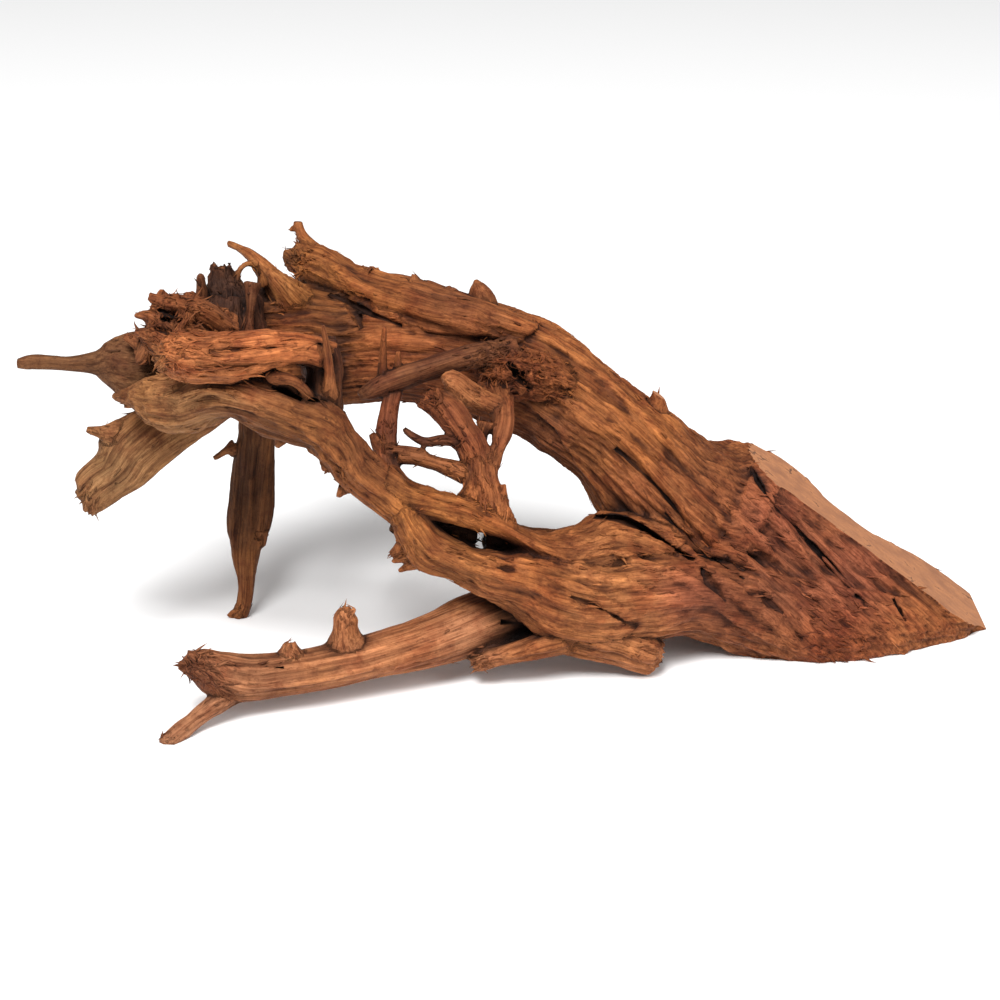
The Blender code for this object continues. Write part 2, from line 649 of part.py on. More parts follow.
def closed_loft(name, rings, collection):
    """A mesh object of the rings, closed with a flat face at both ends."""
    shape = bmesh.new()
    points = [[shape.verts.new(p) for p in ring] for ring in rings]
    for ring, after in zip(points, points[1:]):
        for i in range(len(ring)):
            j = (i + 1) % len(ring)
            shape.faces.new((ring[i], ring[j], after[j], after[i]))
    shape.faces.new(points[0][::-1])
    shape.faces.new(points[-1])
    bmesh.ops.triangulate(shape, faces=shape.faces)
    bmesh.ops.recalc_face_normals(shape, faces=shape.faces)
    mesh = bpy.data.meshes.new(name)
    shape.to_mesh(mesh)
    shape.free()
    made = bpy.data.objects.new(name, mesh)
    collection.objects.link(made)
    return made


def limb(name, sections, relief, seed, collection):
    """One limb as a closed loft with fluted sides and a ragged end. relief is the flutes' depth in mm."""
    rng = np.random.default_rng(seed)
    rows = smooth_route(sections)
    middle, half, across = rows[:, :3], np.maximum(rows[:, 3:5], THINNEST / 2), rows[:, 5:8]
    ahead = np.gradient(middle, axis=0)
    ahead /= np.linalg.norm(ahead, axis=1)[:, None]
    across = across / np.linalg.norm(across, axis=1)[:, None]
    deep = np.cross(ahead, across)
    deep /= np.linalg.norm(deep, axis=1)[:, None]
    girth = 2 * math.pi * float(half.mean(axis=1).max())
    sides = max(8, 2 * round(girth / SIDE / 2))
    around = np.arange(sides) * 2 * math.pi / sides
    along = np.concatenate([[0], np.cumsum(np.linalg.norm(np.diff(middle, axis=0), axis=1))])
    small = half.min(axis=1)[:, None]
    crest = flutes(around[None, :], along[:, None], max(3, round(girth / FLUTE_PITCH)), rng)
    lift = (crest - 0.80) * np.minimum(relief * MM, FLUTE_SHARE * small)
    wide = (half[:, :1] + lift) * np.cos(around)
    thick = (half[:, 1:] + lift) * np.sin(around)
    rings = middle[:, None] + wide[..., None] * across[:, None] + thick[..., None] * deep[:, None]
    if relief > 0:
        rings[-1] += (rng.uniform(-0.4, 0.8, sides) * small[-1])[:, None] * ahead[-1]
    return closed_loft(name, rings, collection)


def grown(name, stations, relief, seed):
    return limb(name, [section(s) for s in stations], relief, seed, limbs)


def traced(name, sections, collection):
    """The smooth loft of a traced line, in a list that is empty where the line broke up."""
    return [limb(name, sections, 0.0, 0, collection)] if len(sections) > 1 else []


def splinters(number, fray):
    """The short pointed fibres of one torn end, fanned out by rule with seeded scatter."""
    px, py, back, bearing, spread, count, length = fray
    rng = np.random.default_rng(700 + number)
    made = []
    for i in range(count):
        angle = math.radians(bearing + spread * (2 * (i + 0.5) / count - 1 + rng.uniform(-0.3, 0.3)))
        side = (i + 0.5) / count * 2 - 1
        scatter = length * 0.9
        x = px - math.sin(math.radians(bearing)) * side * scatter * 0.8 + rng.uniform(-2, 2)
        y = py - math.cos(math.radians(bearing)) * side * scatter * 0.8 + rng.uniform(-2, 2)
        depth = back + rng.uniform(-0.5, 0.5) * scatter * 0.65
        reach = length * rng.uniform(0.7, 1.25)
        way = Vector((math.cos(angle), -math.sin(angle)))
        wide = rng.uniform(2.6, 4.2)
        stations = []
        for share, slim in ((-0.8, 1.3), (0.2, 1.0), (1.0, 0.35)):
            cx, cy = x + way.x * reach * share, y + way.y * reach * share
            stations.append((cx - way.y * wide * slim, cy + way.x * wide * slim,
                             cx + way.y * wide * slim, cy - way.x * wide * slim,
                             depth + rng.uniform(-2, 2) * share, 5.0 * slim))
        made.append(grown(f"splinter_{number}_{i}", stations, 0.3, 900 + 20 * number + i))
    return made


def seen_skin(objects):
    """All the limbs' surfaces in one tree, to find what the photograph sees along a ray."""
    points, faces = [], []
    for item in objects:
        first = len(points)
        points += [v.co.copy() for v in item.data.vertices]
        faces += [[first + i for i in face.vertices] for face in item.data.polygons]
    return BVHTree.FromPolygons(points, faces)


def evaluated_mesh(item):
    bpy.context.view_layer.update()
    graph = bpy.context.evaluated_depsgraph_get()
    return bpy.data.meshes.new_from_object(item.evaluated_get(graph))


def largest_body(mesh):
    """Drops every loose crumb, so that one connected body is left."""
    shape = bmesh.new()
    shape.from_mesh(mesh)
    left = set(shape.verts)
    bodies = []
    while left:
        body = {left.pop()}
        edge_of_body = list(body)
        while edge_of_body:
            near = {e.other_vert(v) for v in edge_of_body for e in v.link_edges} & left
            left -= near
            body |= near
            edge_of_body = list(near)
        bodies.append(body)
    bodies.sort(key=len)
    for crumb in bodies[:-1]:
        bmesh.ops.delete(shape, geom=list(crumb), context="VERTS")
    shape.to_mesh(mesh)
    shape.free()
    return mesh


def mended(mesh):
    """Closes the few spots where thin wood folded onto itself as its facets were reduced."""
    shape = bmesh.new()
    shape.from_mesh(mesh)
    for _ in range(6):
        torn = {v for e in shape.edges if not e.is_manifold for v in e.verts}
        torn |= {v for v in shape.verts if not v.is_manifold}
        if not torn:
            break
        bmesh.ops.delete(shape, geom=list({f for v in torn for f in v.link_faces}), context="FACES")
        bmesh.ops.delete(shape, geom=[e for e in shape.edges if not e.link_faces], context="EDGES")
        bmesh.ops.delete(shape, geom=[v for v in shape.verts if not v.link_faces], context="VERTS")
        rims = [e for e in shape.edges if e.is_boundary]
        bmesh.ops.holes_fill(shape, edges=rims, sides=0)
        bmesh.ops.triangulate(shape, faces=[f for f in shape.faces if len(f.verts) > 3])
    bmesh.ops.recalc_face_normals(shape, faces=shape.faces)
    shape.to_mesh(mesh)
    shape.free()
    return mesh


def fused(objects):
    """The limbs joined and given one common skin, its joints eased, as a new object."""
    with bpy.context.temp_override(active_object=objects[0], selected_editable_objects=objects):
        bpy.ops.object.join()
    whole = objects[0]
    skin = whole.modifiers.new("one_skin", "REMESH")
    skin.mode = "VOXEL"
    skin.voxel_size = VOXEL
    ease = whole.modifiers.new("eased_joints", "SMOOTH")
    ease.factor = 0.5
    ease.iterations = 2
    mesh = largest_body(evaluated_mesh(whole))
    bpy.data.objects.remove(whole)
    wood = bpy.data.objects.new("driftwood", mesh)
    parts.objects.link(wood)
    return wood


def hide(cutter):
    cutter.hide_render = True
    cutter.display_type = "WIRE"
    return cutter


def trim_box(name, size, middle, out):
    """A box of the given size whose own up direction is out."""
    turn = Vector((0.0, 0.0, 1.0)).rotation_difference(out)
    wide, deep, high = size
    square = ((-0.5, -0.5), (0.5, -0.5), (0.5, 0.5), (-0.5, 0.5))
    rings = [[middle + turn @ Vector((x * wide, y * deep, z * high)) for x, y in square] for z in (-0.5, 0.5)]
    return hide(closed_loft(name, rings, cutters))


def saw_block():
    """The wood that the saw took off: a block whose under face is the cut."""
    start, stop = (place(px, py, back * MM) for px, py, back in SAW_LINE)
    run = Vector((stop.x - start.x, 0.0, stop.z - start.z)).normalized()
    out = Vector((-run.z, 0.0, run.x))
    deep = 0.3
    return trim_box("saw_block", (0.6, 0.6, deep), (start + stop) / 2 + out * deep / 2, out)


def stock_block():
    """The box of the stated size, which leaves the feet flat at z = 0."""
    up = Vector((0.0, 0.0, 1.0))
    return trim_box("stock_block", (WIDTH, DEPTH, HEIGHT), up * HEIGHT / 2, up)


def trim(wood, name, operation, cutter=None, cutter_set=None):
    """A Boolean with one cutter or a set. The exact solver leaves open edges on this torn skin, and the
    one for closed meshes doesn't."""
    made = wood.modifiers.new(name, "BOOLEAN")
    made.operation = operation
    made.solver = "MANIFOLD"
    if cutter_set:
        made.operand_type = "COLLECTION"
        made.collection = cutter_set
    else:
        made.object = cutter


def settle(wood, finish):
    """Makes the modifiers' result the object's own mesh, after one last step on it."""
    mesh = finish(evaluated_mesh(wood))
    wood.modifiers.clear()
    wood.data = mesh


def wood_material():
    """Dry bare wood, reddish brown and dull."""
    made = bpy.data.materials.new("bare_wood")
    made.use_nodes = True
    shader = made.node_tree.nodes["Principled BSDF"]
    shader.inputs["Base Color"].default_value = WOOD_BROWN
    shader.inputs["Roughness"].default_value = 0.75
    shader.inputs["Metallic"].default_value = 0.0
    return made


def new_collection(name):
    made = bpy.data.collections.new(name)
    bpy.context.scene.collection.children.link(made)
    return made


for old in list(bpy.data.objects):
    bpy.data.objects.remove(old)
limbs = new_collection("limbs")
parts = new_collection("malaysian_driftwood")
cutters = new_collection("cutters")
hollows = new_collection("hollow_cutters")

pieces = [grown(name, rows, relief, 100 + i) for i, (name, (rows, relief)) in enumerate(LIMBS.items())]
for group, (sets, relief) in enumerate(SETS):
    pieces += [grown(f"set_{group}_{i}", rows, relief, 200 + 50 * group + i) for i, rows in enumerate(sets)]
skin = seen_skin(pieces)
for i, (width, height, line) in enumerate(STRANDS):
    pieces += traced(f"strand_{i}", traced_sections(line, width, height * MM, 0.3 * height * MM), limbs)
for number, fray in enumerate(FRAYS):
    pieces += splinters(number, fray)
for i, (width, depth, line) in enumerate(CRACKS):
    for cutter in traced(f"crack_{i}", traced_sections(line, width, depth * MM, 0.0), hollows):
        hide(cutter)
driftwood = fused(pieces)
driftwood.data.materials.clear()
driftwood.data.materials.append(wood_material())

trim(driftwood, "cracks_and_hollows", "DIFFERENCE", cutter_set=hollows)
facets = driftwood.modifiers.new("fewer_facets", "DECIMATE")
driftwood.data.calc_loop_triangles()
facets.ratio = TRIANGLES / len(driftwood.data.loop_triangles)
facets.use_collapse_triangulate = True
settle(driftwood, mended)
trim(driftwood, "saw_cut", "DIFFERENCE", cutter=saw_block())
trim(driftwood, "stock_size", "INTERSECT", cutter=stock_block())
settle(driftwood, largest_body)
for cutter in list(hollows.objects) + list(cutters.objects):
    bpy.data.objects.remove(cutter)
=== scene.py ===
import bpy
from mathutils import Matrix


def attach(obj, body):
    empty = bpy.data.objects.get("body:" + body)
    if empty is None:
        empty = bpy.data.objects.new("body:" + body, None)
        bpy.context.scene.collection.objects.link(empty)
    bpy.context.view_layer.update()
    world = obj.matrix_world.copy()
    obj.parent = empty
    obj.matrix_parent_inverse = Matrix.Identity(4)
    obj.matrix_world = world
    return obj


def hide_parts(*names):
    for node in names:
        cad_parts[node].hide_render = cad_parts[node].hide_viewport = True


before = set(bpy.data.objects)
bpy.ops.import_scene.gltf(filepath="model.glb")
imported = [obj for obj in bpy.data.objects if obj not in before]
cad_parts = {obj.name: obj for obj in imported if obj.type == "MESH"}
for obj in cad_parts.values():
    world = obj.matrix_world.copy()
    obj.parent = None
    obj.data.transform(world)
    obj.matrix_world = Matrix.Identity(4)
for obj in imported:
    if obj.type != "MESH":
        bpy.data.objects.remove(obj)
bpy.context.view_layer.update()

import math

import bmesh
import bpy
import numpy as np
from mathutils import Matrix, Vector
from mathutils.bvhtree import BVHTree
from mathutils.kdtree import KDTree

# The view that the photograph has of the wood. The camera stands 1.5 m off and looks down by 22.5
# degrees. Every station of the wood below is a pixel of its 1000-pixel frame with a depth, and PIXEL is
# what one pixel measures at the aim.
MM = 0.001
VIEW_DISTANCE = 1.5
VIEW_RISE = math.radians(22.5)
VIEW_ENDS = 50.0
AIM = Vector((-0.0132, 0.0, 0.105))
FRAME_SIZE = 1000
FRAME_MIDDLE = 500.0
PIXEL = 0.000653
SENSOR = 36.0
RIGHT = Vector((1.0, 0.0, 0.0))
AHEAD = Vector((0.0, math.cos(VIEW_RISE), -math.sin(VIEW_RISE)))
UP = RIGHT.cross(AHEAD)
EYE = AIM - AHEAD * VIEW_DISTANCE


def added(name, data):
    """A new object in the scene."""
    made = bpy.data.objects.new(name, data)
    bpy.context.scene.collection.objects.link(made)
    return made


camera_data = bpy.data.cameras.new("photograph_view")
camera_data.sensor_width = SENSOR
camera_data.lens = SENSOR * VIEW_DISTANCE / (FRAME_SIZE * PIXEL)
camera_data.clip_end = VIEW_ENDS
camera = added("photograph_view", camera_data)
camera.matrix_world = Matrix.Translation(EYE) @ Matrix((RIGHT, UP, -AHEAD)).transposed().to_4x4()
bpy.context.scene.camera = camera


def ray_through(px, py):
    """The step from the eye to the picture plane at the aim, through one pixel."""
    return AHEAD * VIEW_DISTANCE + RIGHT * (px - FRAME_MIDDLE) * PIXEL + UP * (FRAME_MIDDLE - py) * PIXEL


def place(px, py, back):
    """The point seen at a pixel, at a depth behind the middle of the piece in metres."""
    ray = ray_through(px, py)
    return EYE + ray * ((back - EYE.y) / ray.y)


def pixel_at(point):
    """The size of one pixel at a point's distance."""
    return PIXEL * (point - EYE).dot(AHEAD) / VIEW_DISTANCE


# The trunk: dense root wood, washed out and dried. It rises from its torn left end over an arch and
# runs down to the sawn tip on the right. It grew in long flutes that follow its length.
STEP = 2.6 * MM
SIDE = 1.9 * MM
THINNEST = 2.6 * MM
FEWEST_SIDES = 8
# Each section is drawn larger by this much all round, because easing the joints draws the skin in.
GROWN = 0.5 * MM
FLUTE_PITCH = 10.0 * MM
FEWEST_FLUTES = 3
FLUTE_SHARE = 0.5
FLUTE_TWIST = 1.4
FLUTE_ROUNDING = 0.8
CREST_ABOVE = 0.80
RAGGED_END = (-0.4, 0.8)
# How the flutes wander round a limb: waves round it, how far they push, and how they climb along it.
WANDER = ((1, 0.30, 9), (2, 0.16, -14), (5, 0.07, 31))
limbs = []
spines = []


def section(station):
    """Middle, half width, half thickness and across direction of (ax, ay, bx, by, back mm, thick mm)."""
    ax, ay, bx, by, back, thick = station
    middle = place((ax + bx) / 2, (ay + by) / 2, back * MM)
    across = RIGHT * (bx - ax) - UP * (by - ay)
    half = across.length * pixel_at(middle) / 2 + GROWN
    return (*middle, half, thick * MM / 2 + GROWN, *across.normalized())


def smooth_route(rows):
    """Rows resampled about every STEP on Catmull-Rom curves through the stations."""
    rows = np.array(rows)
    ends = np.vstack([2 * rows[0] - rows[1], rows, 2 * rows[-1] - rows[-2]])
    made = []
    for before, start, stop, after in zip(ends, ends[1:], ends[2:], ends[3:]):
        count = max(2, round(float(np.linalg.norm(stop[:3] - start[:3])) / STEP))
        for t in np.arange(count) / count:
            made.append(0.5 * (2 * start + (stop - before) * t
                               + (2 * before - 5 * start + 4 * stop - after) * t ** 2
                               + (3 * start - before - 3 * stop + after) * t ** 3))
    made.append(rows[-1])
    return np.array(made)


def flutes(around, along, count, rng):
    """Relief of the grain, 1 on a crest and 0 in a valley, its lines wandering along the limb."""
    phase = rng.uniform(0, 2 * math.pi, 4)
    wander = sum(push * np.sin(waves * around + start + along * climb)
                 for (waves, push, climb), start in zip(WANDER, phase))
    turned = around + wander + along * FLUTE_TWIST
    return np.abs(np.sin(0.5 * count * turned + phase[3])) ** FLUTE_ROUNDING


def closed_loft(name, rings):
    """A mesh object of the rings, closed with a flat face at both ends."""
    count, sides = len(rings), len(rings[0])
    i, j = np.meshgrid(np.arange(count - 1), np.arange(sides), indexing="ij")
    near, far = i * sides + j, i * sides + (j + 1) % sides
    faces = np.stack([near, far, far + sides, near + sides], axis=-1).reshape(-1, 4).tolist()
    faces.append(list(range(sides))[::-1])
    faces.append(list(range((count - 1) * sides, count * sides)))
    mesh = bpy.data.meshes.new(name)
    mesh.from_pydata(np.asarray(rings).reshape(-1, 3).tolist(), [], faces)
    shape = bmesh.new()
    shape.from_mesh(mesh)
    bmesh.ops.recalc_face_normals(shape, faces=shape.faces)
    shape.to_mesh(mesh)
    shape.free()
    return added(name, mesh)


def limb(name, sections, relief, seed, coarse=1.0):
    """One limb as a closed loft with fluted sides and a ragged end. relief is the flutes' depth in mm, and
    coarse is how rough its fibres are. The skin's grain doesn't follow a limb whose coarse is 0."""
    rng = np.random.default_rng(seed)
    rows = smooth_route(sections)
    middle, half, across = rows[:, :3], np.maximum(rows[:, 3:5], THINNEST / 2), rows[:, 5:8]
    ahead = np.gradient(middle, axis=0)
    ahead /= np.linalg.norm(ahead, axis=1)[:, None]
    across = across / np.linalg.norm(across, axis=1)[:, None]
    deep = np.cross(ahead, across)
    deep /= np.linalg.norm(deep, axis=1)[:, None]
    girth = 2 * math.pi * float(half.mean(axis=1).max())
    sides = max(FEWEST_SIDES, 2 * round(girth / SIDE / 2))
    around = np.arange(sides) * 2 * math.pi / sides
    along = np.concatenate([[0], np.cumsum(np.linalg.norm(np.diff(middle, axis=0), axis=1))])
    small = half.min(axis=1)[:, None]
    flute_count = max(FEWEST_FLUTES, round(girth / FLUTE_PITCH))
    crest = flutes(around[None, :], along[:, None], flute_count, rng)
    lift = (crest - CREST_ABOVE) * np.minimum(relief * MM, FLUTE_SHARE * small)
    wide = (half[:, :1] + lift) * np.cos(around)
    thick = (half[:, 1:] + lift) * np.sin(around)
    rings = middle[:, None] + wide[..., None] * across[:, None] + thick[..., None] * deep[:, None]
    if relief > 0:
        rings[-1] += (rng.uniform(*RAGGED_END, sides) * small[-1])[:, None] * ahead[-1]
    if coarse > 0:
        axes = np.stack([np.cross(deep, ahead), deep, ahead], axis=1)
        spines.append({"name": name, "rings": rings, "middle": middle, "axes": axes, "along": along,
                       "small": small[:, 0], "seed": seed, "coarse": coarse})
    return closed_loft(name, rings)


def grown(name, stations, relief, seed, coarse=1.0):
    """Adds one limb of the wood from its stations."""
    limbs.append(limb(name, [section(s) for s in stations], relief, seed, coarse))


def grown_set(name, sets, relief, seed, coarse=1.0):
    """Like limbs under one name, each with a seed of its own."""
    for i, stations in enumerate(sets):
        grown(f"{name}_{i}", stations, relief, seed + i, coarse)


TRUNK = [
    (176, 322, 180, 388, 26, 36), (200, 300, 205, 394, 42, 46), (232, 290, 236, 396, 60, 50),
    (265, 286, 268, 400, 74, 54), (302, 284, 303, 402, 84, 58), (345, 290, 338, 403, 86, 60),
    (385, 288, 378, 401, 82, 64), (430, 292, 422, 402, 78, 66), (470, 297, 455, 410, 74, 68),
    (504, 305, 482, 420, 70, 70), (532, 315, 508, 430, 64, 70), (562, 331, 533, 443, 58, 72),
    (602, 362, 558, 459, 50, 74), (632, 389, 580, 477, 44, 78), (667, 413, 596, 506, 40, 86),
    (709, 442, 622, 556, 42, 94), (748, 446, 650, 600, 48, 110), (800, 453, 698, 634, 45, 104),
    (846, 480, 748, 654, 31, 60), (896, 516, 808, 660, 30, 56), (944, 548, 872, 656, 42, 84),
    (980, 578, 930, 644, 48, 78), (1004, 600, 968, 636, 48, 54), (1020, 616, 998, 630, 46, 26),
]
grown("trunk", TRUNK, 3.2, 100)

# The broken spur lies along the trunk's back and ends in the shard that is the piece's highest point.
# It is the stump of a side root that was torn off, so its end is splintered.
SPUR = [
    (540, 324, 512, 352, 56, 30), (490, 304, 470, 344, 60, 40), (452, 290, 432, 343, 68, 44),
    (417, 281, 398, 332, 80, 42), (386, 275, 365, 320, 94, 40), (358, 268, 338, 304, 107, 38),
    (336, 252, 318, 294, 117, 36), (315, 246, 303, 286, 125, 32), (300, 242, 290, 268, 129, 22),
]
TOP_SHARD = [
    (330, 254, 316, 266, 122, 14), (314, 240, 304, 250, 128, 10), (305, 230, 298, 238, 134, 7),
    (301, 218, 294, 223, 137, 6),
]
SHARD_HOOK = [
    (302, 223, 300, 230, 136, 5), (290, 227, 291, 231, 136, 3),
]
grown("spur", SPUR, 2.4, 114)
grown("top_shard", TOP_SHARD, 0.6, 115)
grown("shard_hook", SHARD_HOOK, 0.2, 116)

# The front limb: a second root that leaves the base, divides round a long slot and rises to the crown.
# Thin wood closes most of the slot from behind.
FRONT_LIMB = [
    (114, 394, 116, 400, -30, 6), (135, 386, 133, 408, -36, 16), (160, 376, 158, 427, -42, 30),
    (195, 370, 192, 433, -48, 40), (228, 368, 224, 418, -56, 42), (262, 370, 252, 430, -62, 42),
    (298, 382, 284, 441, -64, 40), (327, 396, 311, 449, -64, 38), (340, 416, 325, 463, -63, 34),
    (359, 445, 338, 483, -60, 32), (386, 467, 359, 499, -57, 32), (412, 486, 382, 516, -55, 33),
]
UPPER_STRAND = [
    (388, 466, 372, 500, -56, 28), (410, 484, 400, 513, -55, 28), (434, 491, 428, 518, -54, 28),
    (462, 497, 455, 525, -52, 29), (490, 510, 481, 532, -50, 30), (515, 524, 507, 540, -46, 32),
    (540, 534, 530, 560, -40, 36), (575, 526, 562, 580, -30, 44), (606, 512, 596, 590, -18, 52),
    (655, 520, 640, 610, -2, 56),
]
LOWER_STRAND = [
    (400, 484, 394, 517, -56, 26), (420, 506, 402, 542, -58, 30), (438, 526, 418, 565, -58, 34),
    (472, 545, 448, 576, -57, 38), (500, 550, 472, 590, -55, 42), (530, 549, 504, 606, -52, 46),
    (562, 550, 534, 630, -46, 50), (602, 550, 576, 648, -40, 52), (644, 552, 628, 642, -32, 50),
    (688, 556, 680, 632, -20, 48), (724, 560, 722, 640, -8, 44),
]
SLOT_BACKS = [
    [(398, 494, 390, 530, -44, 14), (432, 505, 424, 548, -42, 14), (478, 518, 474, 560, -40, 12)],
    [(485, 518, 482, 566, -38, 12), (520, 526, 512, 576, -36, 14), (560, 530, 548, 586, -30, 16)],
]
grown("front_limb", FRONT_LIMB, 1.6, 101)
grown("upper_strand", UPPER_STRAND, 1.4, 102)
grown("lower_strand", LOWER_STRAND, 1.8, 103)
grown_set("slot_back", SLOT_BACKS, 0.5, 250)

# The base and the foot: where the roots ran together at the ground. The base swells forward over the
# surface, and the foot ends in a blunt toe and a heel.
BASE_SKIRT = [
    (606, 556, 604, 634, -24, 40), (662, 552, 658, 626, -16, 44), (706, 556, 702, 638, -10, 46),
    (745, 560, 742, 654, -4, 54), (785, 566, 782, 668, 2, 62), (828, 574, 828, 674, 4, 64),
    (868, 582, 872, 668, 10, 60), (908, 590, 916, 658, 20, 52), (946, 598, 956, 646, 32, 42),
    (970, 606, 974, 630, 44, 26),
]
TOE = [
    (560, 600, 564, 652, -46, 36), (600, 616, 604, 660, -44, 36), (634, 626, 636, 670, -42, 32),
    (650, 632, 649, 672, -40, 24), (657, 643, 655, 664, -39, 14),
]
HEEL = [
    (472, 656, 476, 670, -60, 12), (486, 648, 488, 669, -58, 20), (508, 642, 510, 663, -55, 28),
    (534, 632, 536, 658, -50, 36), (575, 620, 575, 652, -44, 40),
]
grown("base_skirt", BASE_SKIRT, 2.4, 105, 0.0)
grown("toe", TOE, 1.2, 106)
grown("heel", HEEL, 1.2, 107)

# The branch on the ground: a smooth side root, frayed where it was pulled off, with a twig that
# reaches down to the surface.
GROUND_BRANCH = [
    (560, 560, 566, 620, -12, 34), (520, 572, 528, 634, -24, 36), (482, 590, 502, 646, -36, 36),
    (452, 602, 466, 659, -48, 36), (430, 613, 432, 667, -56, 35), (400, 624, 390, 675, -64, 34),
    (364, 636, 352, 683, -72, 33), (326, 645, 324, 689, -79, 32), (290, 652, 290, 695, -87, 32),
    (252, 656, 251, 701, -95, 32), (225, 653, 225, 700, -101, 31), (204, 650, 206, 692, -106, 28),
    (190, 653, 195, 678, -109, 20),
]
FOOT_TWIG = [
    (222, 684, 244, 700, -104, 16), (205, 700, 224, 713, -112, 14), (188, 714, 203, 725, -121, 12),
    (172, 727, 188, 737, -130, 11), (157, 740, 168, 749, -140, 9),
]
grown("ground_branch", GROUND_BRANCH, 1.2, 104, 0.35)
grown("foot_twig", FOOT_TWIG, 0.6, 108)

# The flat blade at the left, the long spike, and the thin leg that reaches down to the surface behind
# them: roots that were worn flat by water.
LEFT_BLADE = [
    (190, 398, 242, 406, 6, 30), (152, 406, 216, 427, 0, 24), (120, 420, 188, 447, -6, 20),
    (101, 437, 163, 467, -10, 18), (98, 453, 143, 485, -12, 17), (80, 470, 122, 497, -14, 16),
    (76, 482, 106, 508, -16, 15), (84, 503, 94, 515, -18, 11),
]
HANGING_ROOT = [
    (240, 395, 276, 395, 64, 24), (239, 432, 275, 434, 60, 18), (236, 457, 274, 462, 58, 15),
    (231, 482, 274, 484, 56, 14), (228, 505, 273, 504, 54, 13), (227, 528, 270, 524, 52, 12),
    (231, 546, 261, 545, 50, 11), (234, 563, 257, 560, 48, 11), (238, 582, 254, 582, 46, 10),
    (237, 600, 252, 600, 45, 9), (231, 619, 246, 621, 44, 8),
]
LEFT_SPIKE = [
    (14, 361, 15, 367, -14, 5), (32, 355, 29, 369, -12, 9), (50, 356, 49, 369, -10, 9),
    (70, 357, 67, 370, -8, 9), (96, 351, 92, 373, -5, 13), (108, 341, 103, 380, -3, 20),
    (130, 332, 124, 398, 0, 30), (156, 330, 152, 404, 6, 38),
]
grown("left_blade", LEFT_BLADE, 1.0, 109, 0.3)
grown("hanging_root", HANGING_ROOT, 1.0, 110, 0.8)
grown("left_spike", LEFT_SPIKE, 1.0, 111, 0.3)

# The short broken log across the front: fibrous wood, brushed out at its end, on a dark knot.
STUB_LOG = [
    (160, 340, 165, 372, -83, 24), (175, 332, 179, 381, -81, 34), (206, 330, 206, 384, -77, 38),
    (235, 330, 233, 382, -74, 38), (265, 330, 262, 374, -70, 35), (298, 332, 294, 364, -65, 32),
    (320, 337, 317, 370, -60, 28),
]
STUB_KNOT = [
    (314, 338, 338, 338, -46, 20), (309, 358, 341, 360, -48, 34), (306, 384, 341, 388, -52, 38),
    (304, 408, 342, 414, -56, 34),
]
grown("stub_log", STUB_LOG, 1.8, 112, 1.2)
grown("stub_knot", STUB_KNOT, 2.0, 113)

# The crown: the torn root wood at the left end, in blades, horns and twisted strands round a dark
# rotten block.
DARK_BLOCK = [
    (196, 352, 270, 352, 40, 44), (200, 318, 264, 318, 44, 38), (204, 300, 260, 300, 50, 30),
    (207, 288, 244, 287, 51, 22), (209, 278, 236, 277, 52, 18), (212, 269, 231, 268, 52, 12),
]
LUMP_CORE = [
    (232, 316, 226, 378, 10, 42), (200, 306, 196, 372, 4, 42), (172, 312, 170, 366, 0, 34),
    (156, 322, 154, 356, -4, 22),
]
LUMP_STRANDS = [
    [
        (226, 318, 218, 336, 0, 22), (202, 302, 194, 322, -12, 20), (178, 295, 176, 314, -18, 17),
        (162, 296, 163, 309, -20, 12), (150, 294, 150, 301, -20, 6),
    ],
    [
        (214, 332, 206, 352, -10, 22), (184, 318, 178, 340, -22, 20), (160, 312, 156, 330, -24, 16),
        (146, 310, 145, 321, -22, 10), (135, 313, 136, 318, -20, 5),
    ],
    [
        (206, 350, 196, 372, -16, 24), (174, 334, 168, 360, -26, 22), (154, 328, 150, 350, -26, 17),
        (137, 330, 138, 337, -22, 6),
    ],
    [
        (200, 300, 184, 302, -6, 16), (192, 318, 176, 322, -24, 14), (182, 340, 166, 344, -30, 14),
        (172, 360, 154, 362, -26, 16),
    ],
    [
        (168, 296, 158, 298, -4, 12), (160, 314, 148, 316, -22, 11), (158, 332, 145, 334, -26, 12),
        (152, 352, 134, 356, -20, 14),
    ],
]
CROWN_BLADE = [
    (229, 240, 227, 246, 97, 4), (241, 245, 238, 252, 91, 6), (254, 250, 247, 261, 83, 9),
    (268, 260, 255, 274, 77, 12), (281, 271, 264, 289, 74, 17), (295, 281, 270, 306, 74, 22),
    (314, 290, 280, 334, 82, 28),
]
CROWN_HORN = [
    (195, 304, 209, 304, 40, 9), (197, 290, 206, 290, 38, 7), (197, 276, 203, 276, 36, 5),
]
CROWN_STRUT = [
    (244, 281, 261, 283, 34, 10), (246, 292, 258, 292, 32, 8), (247, 304, 255, 304, 29, 7),
    (246, 318, 253, 318, 28, 7), (243, 336, 254, 336, 26, 10),
]
CROWN_RING = [
    (234, 290, 241, 288, 48, 6), (235, 276, 241, 275, 50, 6), (238, 267, 243, 271, 52, 5),
    (246, 261, 248, 267, 56, 5), (257, 263, 254, 269, 60, 6), (264, 272, 257, 275, 62, 8),
    (268, 286, 258, 285, 62, 9),
]
SMALL_HORN = [
    (221, 334, 234, 334, 8, 9), (224, 323, 231, 323, 6, 6), (226, 311, 228, 311, 4, 3),
]
FLAKE = [
    (272, 298, 280, 294, 46, 4), (282, 314, 291, 306, 40, 5), (288, 328, 300, 322, 38, 6),
    (292, 342, 306, 338, 50, 8),
]
grown("dark_block", DARK_BLOCK, 2.0, 117, 1.3)
grown("lump_core", LUMP_CORE, 3.0, 118, 1.3)
grown_set("lump_strand", LUMP_STRANDS, 1.2, 200, 1.3)
grown("crown_blade", CROWN_BLADE, 1.0, 119)
grown("crown_horn", CROWN_HORN, 0.4, 120)
